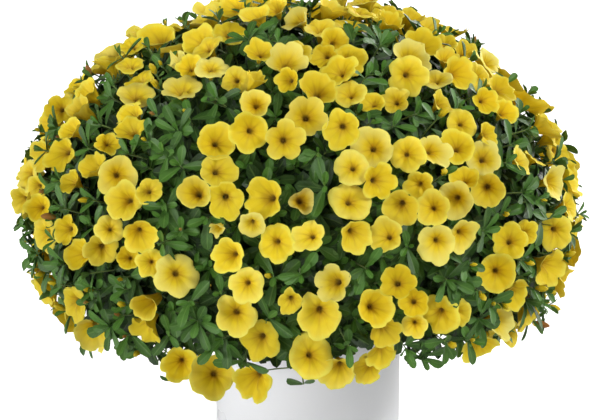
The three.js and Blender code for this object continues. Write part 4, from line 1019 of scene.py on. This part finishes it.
def add_calyx(form, draw, hug):
    """A green cup round the tube's end with five narrow sepals."""
    rings = [[(0, 0, -1.4)], *[ring_at(r, z, CALYX_COLUMNS) for r, z in CALYX_CUP], [(0, 0, -1.0)]]
    add_skin(form, rings, [0, 0.2, 0.4, 0.6, 0.8, 1], CALYX)
    for k in range(LOBES):
        angle = 2 * pi * (k + 0.5) / LOBES + draw.uniform(-0.2, 0.2)
        out = Vector((cos(angle), sin(angle), 0))
        side = Vector((-out.y, out.x, 0))
        start = out * 0.12 + Vector((0, 0, -1.14))
        way = (out * (draw.uniform(*SEPAL_SPREADS) * hug) + Vector((0, 0, 1))).normalized()
        over = way.cross(side)
        length = draw.uniform(*SEPAL_LENGTHS)
        rings = [[start - way * 0.03]]
        for along, half in SEPAL_STATIONS:
            centre = start + way * (length * along) - over * (0.05 * along**2)
            arms = (side * half, over * 0.014, side * -half, over * -0.014)
            rings.append([centre + arm for arm in arms])
        rings.append([start + way * length - over * 0.06])
        add_skin(form, rings, [0, 0.35, 0.75, 1], CALYX)


def add_anthers(form, draw):
    """The stigma and four anthers, just inside the throat."""
    rise = Vector((0, 0, ANTHER_SIZE))
    for k in range(5):
        angle = 2 * pi * k / 4 + draw.uniform(-0.2, 0.2)
        off = 0.0 if k == 4 else ANTHER_OFF
        centre = Vector((off * cos(angle), off * sin(angle), -ANTHER_DEPTH - 0.05 * (k % 2)))
        girdle = [Vector(p) + centre for p in ring_at(ANTHER_SIZE, 0, 5)]
        add_skin(form, [[centre - rise], girdle, [centre + rise]], [0, 0.5, 1], ANTHER)


def bloom_form(k, opening, crumple, starry):
    """A whole bloom of radius 1 that faces up, its middle at the rim's level and its tube a little bent."""
    draw = np.random.default_rng(BLOOM_SEED + k)
    form = bmesh.new()
    rings, free = corolla_rings(draw, opening, crumple, starry)
    add_skin(form, rings, profile_shares(), petal_side, free=free)
    add_calyx(form, draw, 1.0)
    if opening > 0.7:
        add_anthers(form, draw)
    amount, angle = draw.uniform(*BENDS), pi + draw.uniform(-BEND_TURN, BEND_TURN)
    for corner in form.verts:
        bent = amount * sin(pi * min(max(corner.co.z / TUBE_END, 0), 1))
        corner.co.x += bent * cos(angle)
        corner.co.y += bent * sin(angle)
    return form


def bud_form(k, plump):
    """A closed bud: a pleated, twisted point of petals that stands out of its calyx."""
    form = bmesh.new()
    rings = [[(0, 0, -1.25)]]
    for radius, height in BUD_PROFILE:
        rise = height - BUD_PROFILE[0][1]
        ring = []
        for j in range(BUD_COLUMNS):
            turn = 2 * pi * j / BUD_COLUMNS
            wide = radius * plump * (1 + BUD_PLEAT * cos(LOBES * turn + 4 * height))
            angle = turn + BUD_TWIST * rise
            ring.append((wide * cos(angle), wide * sin(angle), BUD_PROFILE[0][1] + rise * plump))
        rings.append(ring)
    rings.append([(0, 0, BUD_PROFILE[0][1] + (BUD_TIP - BUD_PROFILE[0][1]) * plump)])
    add_skin(form, rings, [0, 0.2, 0.4, 0.6, 0.8, 0.95, 1], PETAL_BACK)
    add_calyx(form, np.random.default_rng(BUD_SEED + k), 0.4)
    return form


kinds = [(k, 1.0 - DRAWN_IN * (k % 5 == 4), 0.0, STARRY * (k % 7 == 3)) for k in range(OPEN_FORMS)]
kinds += [(50 + k, 0.28 + 0.12 * k, 0.0, 0.0) for k in range(HALF_FORMS)]
kinds += [(70 + k, 0.35, 0.8, 0.0) for k in range(SPENT_FORMS)]
forms = [bloom_form(*kind) for kind in kinds] + [bud_form(k, 0.8 + 0.5 * k) for k in range(BUD_FORMS)]
bloom_forms = forms_in("bloom", forms)


def lobe_lines(turns, start, width):
    """1 along five lines from the throat to the rim, and 0 beside them."""
    place = worked("FRACT", worked("ADD", times(turns, 5.0), start))
    near = worked("ABSOLUTE", minus(place, 0.5))
    return eased(near, 0.5 - width, 0.5)


# Inside, the Tube colour darkens the deep tube: the throat's own olive-brown with painted shade added.
PETAL_CODES = {
    "Tube": "#7a6422", "Throat": "#be9d2c", "Glow": "#ebc92a", "Blade": "#fae124", "Rim": "#faf056",
    # The crease colour is vein colour with painted shade along the lobe grooves and seams.
    "Vein_And_Crease_Shade": "#d3aa20", "Aged": "#fbf48c", "Dried": "#bc8038",
}
BACK_CODES = {
    "Tube": "#a3aa3a", "Throat": "#cdb424", "Glow": "#e0c01c", "Blade": "#eed41e", "Rim": "#f6e248",
    "Vein_And_Crease_Shade": "#bd961c", "Aged": "#f0e67c", "Dried": "#b67a38",
}
CALYX_CODES, ANTHER_CODES = ("#3f6a2b", "#7f9f4c"), ("#8e7024", "#7c5e1c")
BANDS = {"Throat": (0.07, 0.18), "Glow": (0.17, 0.32), "Blade": (0.3, 0.58), "Rim": (0.8, 1.0)}
STREAKS, STREAK_SCALE, RAGGED, TONE_SHIFT = 46.0, 1.6, 0.14, 0.07
CREASE_HALF, SEAM_HALF, SEAM_SHARE, VEIN_SHARE = 0.18, 0.1, 0.4, 0.45
tree, given = start_effect("petal_marks", [(label, "Color") for label in PETAL_CODES])
turns, share = over_form(tree)
streaky = socket(tree, "ShaderNodeCombineXYZ", {0: times(turns, STREAKS), 1: share})
sockets = {"Vector": streaky, "Scale": STREAK_SCALE, "Detail": 3.0}
streaks = socket(tree, "ShaderNodeTexNoise", sockets, at="Fac")
ragged = times(minus(streaks, 0.5), RAGGED)
tone = varies(tree, "tone")
place = worked("ADD", worked("ADD", share, ragged), times(tone, TONE_SHIFT))
# The deep tube starts dark: the throat's own colour with painted shade.
base = given["Tube"]
for label, (low, high) in BANDS.items():
    base = blended(tree, eased(place, low, high), base, given[label])
# Painted shade with vein colour: the petals are darkened along the lobe grooves and the seams between lobes.
creases = lobe_lines(turns, 0.0, CREASE_HALF)
seams = times(lobe_lines(turns, 0.5, SEAM_HALF), SEAM_SHARE)
creases = worked("MAXIMUM", creases, seams)
fade = eased(share, 0.35, 0.95, 0.42, 0.06)
veins = worked("MAXIMUM", creases, times(eased(streaks, 0.5, 0.8), VEIN_SHARE))
base = blended(tree, times(veins, fade), base, given["Vein_And_Crease_Shade"])
age = varies(tree, "age")
paling = times(worked("MINIMUM", age, 1.0), eased(place, 0.45, 0.95))
base = blended(tree, paling, base, given["Aged"])
base = blended(tree, eased(age, 1.0, 2.0), base, given["Dried"])
shade = eased(worked("ADD", tone, mottle(tree, 9 * MM)), -0.6, 1.6, 0.86, 1.04)
base = socket(tree, "ShaderNodeHueSaturation", {"Value": shade, "Color": base})
height = minus(times(streaks, 0.6), creases)
petal_marks = end_effect(tree, {"Color": base, "Height": height})


def petal_material(name, codes, bump):
    """A petal's one side: tube-to-rim colour, veins and painted crease shade fading outwards, age and tone.
    """
    made, tree = new_material(name)
    marks = effect(tree, petal_marks, {label: colour(code) for label, code in codes.items()})
    end_thin(tree, marks["Color"], 0.6, raised(marks["Height"], bump), 0.03, 0.3, marks["Color"])
    return made


petal_front = petal_material("petal_front", PETAL_CODES, 0.25 * MM)
petal_back = petal_material("petal_back", BACK_CODES, 0.3 * MM)
calyx_green = mottled("calyx_green", CALYX_CODES, 4 * MM, 0.6, (0.6 * MM, 3.0, 0.15 * MM), sheen=0.25)
anther_cream = mottled("anther_cream", ANTHER_CODES, 1 * MM, 0.8)

VIEW_WIDTH, VIEW_HEIGHT, OUT_OF_VIEW = 600, 420, 900.0
PIXEL = 0.84 * MM
CAMERA_AWAY, CAMERA_RISE = 2.5, radians(14)
AIM = np.array([-6.7, 0, 194.3]) * MM
VIEW_BACK = np.array([0, -cos(CAMERA_RISE), sin(CAMERA_RISE)])
VIEW_UP = np.array([0, sin(CAMERA_RISE), cos(CAMERA_RISE)])

# On the front, the old, half-open and withered blooms have places of their own, in the main view's pixels.
OLD = (
    (142, 92), (178, 90), (120, 172), (177, 277), (212, 64), (290, 65), (299, 22), (256, 112), (298, 118),
    (408, 55), (437, 77), (491, 63), (375, 150), (436, 150), (487, 157), (552, 186), (456, 200), (460, 235),
    (435, 249), (345, 166), (306, 198), (330, 284), (503, 324), (254, 227),
)
HALF_OPEN = ((88, 115), (100, 188), (178, 176), (128, 285), (252, 28), (236, 106), (385, 35), (257, 80))
WILTED = ((217, 226), (287, 190), (45, 180), (163, 67))
OLD_UP_TO, HALF_UP_TO, WILTED_FROM = 0.15, 0.2, 0.975  # out of sight, by a draw from 0 to 1
FRESH_AGE, OLD_AGES, WILTED_AGES, SPENT_AGES, TONES = 0.35, (0.4, 0.9), (0.9, 1.25), (1.6, 2.0), (-0.6, 0.8)
SHRUNK, SPENT_SHARE = 0.78, 0.16
BUD_COUNT, BUD_SIZES, BUD_ROOM, BUD_FOOT = 95, (7.5 * MM, 11 * MM), 3 * MM, 1.4
BUD_SINK, BUD_NOD, BUD_REACH = 0.8 * MM, 0.35, 3 * MM
PETAL_FLUTTER, PETAL_RIPPLE = 4 * MM, 16 * MM


def seen_at(points):
    """Where points stand in the main view: columns to the right and rows down, in its pixels."""
    away = points - AIM
    scale = CAMERA_AWAY / (CAMERA_AWAY - away @ VIEW_BACK) / PIXEL
    across, down = away[:, 0] * scale, away @ VIEW_UP * scale
    return np.stack([VIEW_WIDTH / 2 + across, VIEW_HEIGHT / 2 - down], axis=1)


def nearest_seen(marks):
    """The bloom of the front that stands nearest to each place in the main view."""
    hidden = OUT_OF_VIEW * (facings @ VIEW_BACK < 0)
    return {int((norm(seen_at(centres) - mark, axis=1) + hidden).argmin()) for mark in marks}


def lowest_lobe(lobe, facing):
    """The one of a bloom's five lobes that hangs lowest."""
    side = np.cross(facing, lobe)
    turns = [2 * pi * k / LOBES for k in range(LOBES)]
    ways = [lobe * cos(turn) + side * sin(turn) for turn in turns]
    return min(ways, key=lambda way: way[2])


old, half_open, wilted = nearest_seen(OLD), nearest_seen(HALF_OPEN), nearest_seen(WILTED)
bloom_spots = []
for k, (bunch, centre, root) in enumerate(zip(bloom_bunch, centres, roots)):
    facing, radius = facings[k], bloom_radii[k]
    lobe = lowest_lobe(lobe_tips[k], facing)
    turn = placed(lobe, np.cross(facing, lobe), facing)
    spot = {"at": centre, "turn": turn, "size": radius, "bunch": bunch}
    if facing @ VIEW_BACK > 0:
        is_old, is_half, is_wilted = k in old, k in half_open, k in wilted
    else:
        chance = rng.uniform(0, 1)
        is_old, is_half = chance < OLD_UP_TO, OLD_UP_TO < chance < HALF_UP_TO
        is_wilted = chance > WILTED_FROM
    spot["form"], spot["age"] = int(rng.integers(OPEN_FORMS)), float(rng.uniform(0, 1) ** 3 * FRESH_AGE)
    if is_old:
        spot["age"] = float(rng.uniform(*OLD_AGES))
    if is_half:
        spot["form"] = OPEN_FORMS + k % HALF_FORMS
    if is_wilted:
        spot["form"], spot["age"] = WITHERED + k % SPENT_FORMS, float(rng.uniform(*WILTED_AGES))
        spot["size"] = radius * SHRUNK
        spot["at"] = root + facing * (TUBE * spot["size"])
    spot["tone"] = float(rng.uniform(*TONES))
    bloom_spots.append(spot)

# Buds stand in some of the rosettes, and here and there a spent bloom that has closed and dried.
in_room = [shoot for shoot in shoots if shoot.room > BUD_ROOM]
in_room = [shoot for shoot in in_room if norm(shoot.end - shoot.tip) < BUD_REACH]
for shoot in [in_room[k] for k in rng.permutation(len(in_room))[:BUD_COUNT]]:
    facing, size = unit(shoot.way + rng.uniform(-BUD_NOD, BUD_NOD, 3)), rng.uniform(*BUD_SIZES)
    at = shoot.tip + facing * (BUD_FOOT * size - BUD_SINK)
    side = unit(np.cross(facing, (0.3, 0.9, 0.2)))
    spot = {"at": at, "turn": placed(side, np.cross(facing, side), facing), "size": size}
    spot["bunch"] = bloom_bunch[norm(centres - at, axis=1).argmin()]
    is_spent = rng.uniform(0, 1) < SPENT_SHARE
    spot["form"], spot["tone"] = BUDS + int(rng.integers(BUD_FORMS)), float(rng.uniform(*TONES))
    spot["age"] = float(rng.uniform(*SPENT_AGES)) if is_spent else 0.0
    bloom_spots.append(spot)

bunch_stems = stem_near([roots[bloom_bunch == k].mean(0) for k in range(len(bunches))])
bloom_tree = placing_tree("place_blooms", [petal_front, petal_back, calyx_green, anther_cream])
for k in range(len(leafy)):
    mine = [b for b in range(len(bunches)) if bunch_stems[b] == k]
    if not mine:
        continue
    own = [spot for spot in bloom_spots if spot["bunch"] in mine]
    flowers = planted(f"blooms_{k + 1:02d}", own, bloom_tree, bloom_forms, PETAL_FLUTTER, PETAL_RIPPLE, 5.0)
    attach(flowers, "root")
    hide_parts(*[bunches[b] for b in mine])

# ---- The studio --------------------------------------------------------------------------------------
# The pot stands on a wide white floor under a plain sky, which is bright low on the left and at the right
# behind, with one soft light from the front right and above. The camera looks slightly down on the plant.

SENSOR = 36.0
SKY_LEFT, SKY_TOP, SKY_BACK = 9.2, 0.22, 6.2
LEFT_WAY, LEFT_SPAN, LEFT_HEIGHTS = (-0.84, -0.54), (0.3, 0.95), (0.0, 0.32)
BACK_WAY, BACK_SPAN = (0.64, 0.77), (0.6, 0.97)
FLOOR_RADIUS, FLOOR_SINK, FLOOR_COLUMNS = 7.0, -0.2 * MM, 64
FLOOR_UNSEEN, FLOOR_SEEN, FLOOR_GLOW = "#a4a4a4", ("#fafafa", "#ffffff"), 0.62
KEY_AT, KEY_SIZE, KEY_WATTS = (2.0, -1.6, 2.3), 1.0, 60

form = bmesh.new()
form.faces.new([form.verts.new(corner) for corner in ring_at(FLOOR_RADIUS, FLOOR_SINK, FLOOR_COLUMNS)])
ground = object_from(form, "paper_floor")
paper, tree = new_material("white_paper")
is_seen = socket(tree, "ShaderNodeLightPath")
base, glow = [blended(tree, is_seen, colour(FLOOR_UNSEEN), colour(seen)) for seen in FLOOR_SEEN]
sockets = {"Base Color": base, "Roughness": 0.9, "Emission Color": glow, "Emission Strength": FLOOR_GLOW}
end_surface(tree, sockets)
ground.data.materials.append(paper)
ground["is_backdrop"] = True


def towards(way):
    """How far each direction of the sky leans towards a level way."""
    return worked("ADD", times(sky.outputs["X"], way[0]), times(sky.outputs["Y"], way[1]))


world = bpy.data.worlds.new("soft_sky")
world.use_nodes = True
tree = world.node_tree
tree.nodes.clear()
sky = put(tree, "ShaderNodeSeparateXYZ", {0: socket(tree, "ShaderNodeTexCoord", at="Generated")})
lit = eased(towards(LEFT_WAY), *LEFT_SPAN, 0.0, SKY_LEFT)
high = eased(sky.outputs["Z"], *LEFT_HEIGHTS)
lit = blended(tree, high, lit, (SKY_TOP, SKY_TOP, SKY_TOP, 1))
lit = worked("MAXIMUM", lit, eased(towards(BACK_WAY), *BACK_SPAN, 0.0, SKY_BACK))
lit = worked("MAXIMUM", lit, socket(tree, "ShaderNodeLightPath"))
background = put(tree, "ShaderNodeBackground", {"Color": (1, 1, 1, 1), "Strength": lit})
put(tree, "ShaderNodeOutputWorld", {"Surface": background.outputs["Background"]})
scene.world = world
scene.view_settings.view_transform = "Standard"

light = bpy.data.lights.new("key_light", "AREA")
light.shape, light.size, light.energy = "SQUARE", KEY_SIZE, KEY_WATTS
key = in_scene("key_light", light)
key.location = KEY_AT
key.rotation_euler = Vector(AIM - np.array(KEY_AT)).to_track_quat("-Z", "Y").to_euler()

camera = bpy.data.cameras.new("camera")
camera.sensor_width = SENSOR
camera.lens = SENSOR * CAMERA_AWAY / (VIEW_WIDTH * PIXEL)
rig = in_scene("camera", camera)
rig.location = AIM + CAMERA_AWAY * VIEW_BACK
rig.rotation_euler = Vector(-VIEW_BACK).to_track_quat("-Z", "Y").to_euler()
scene.camera = rig

low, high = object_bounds()
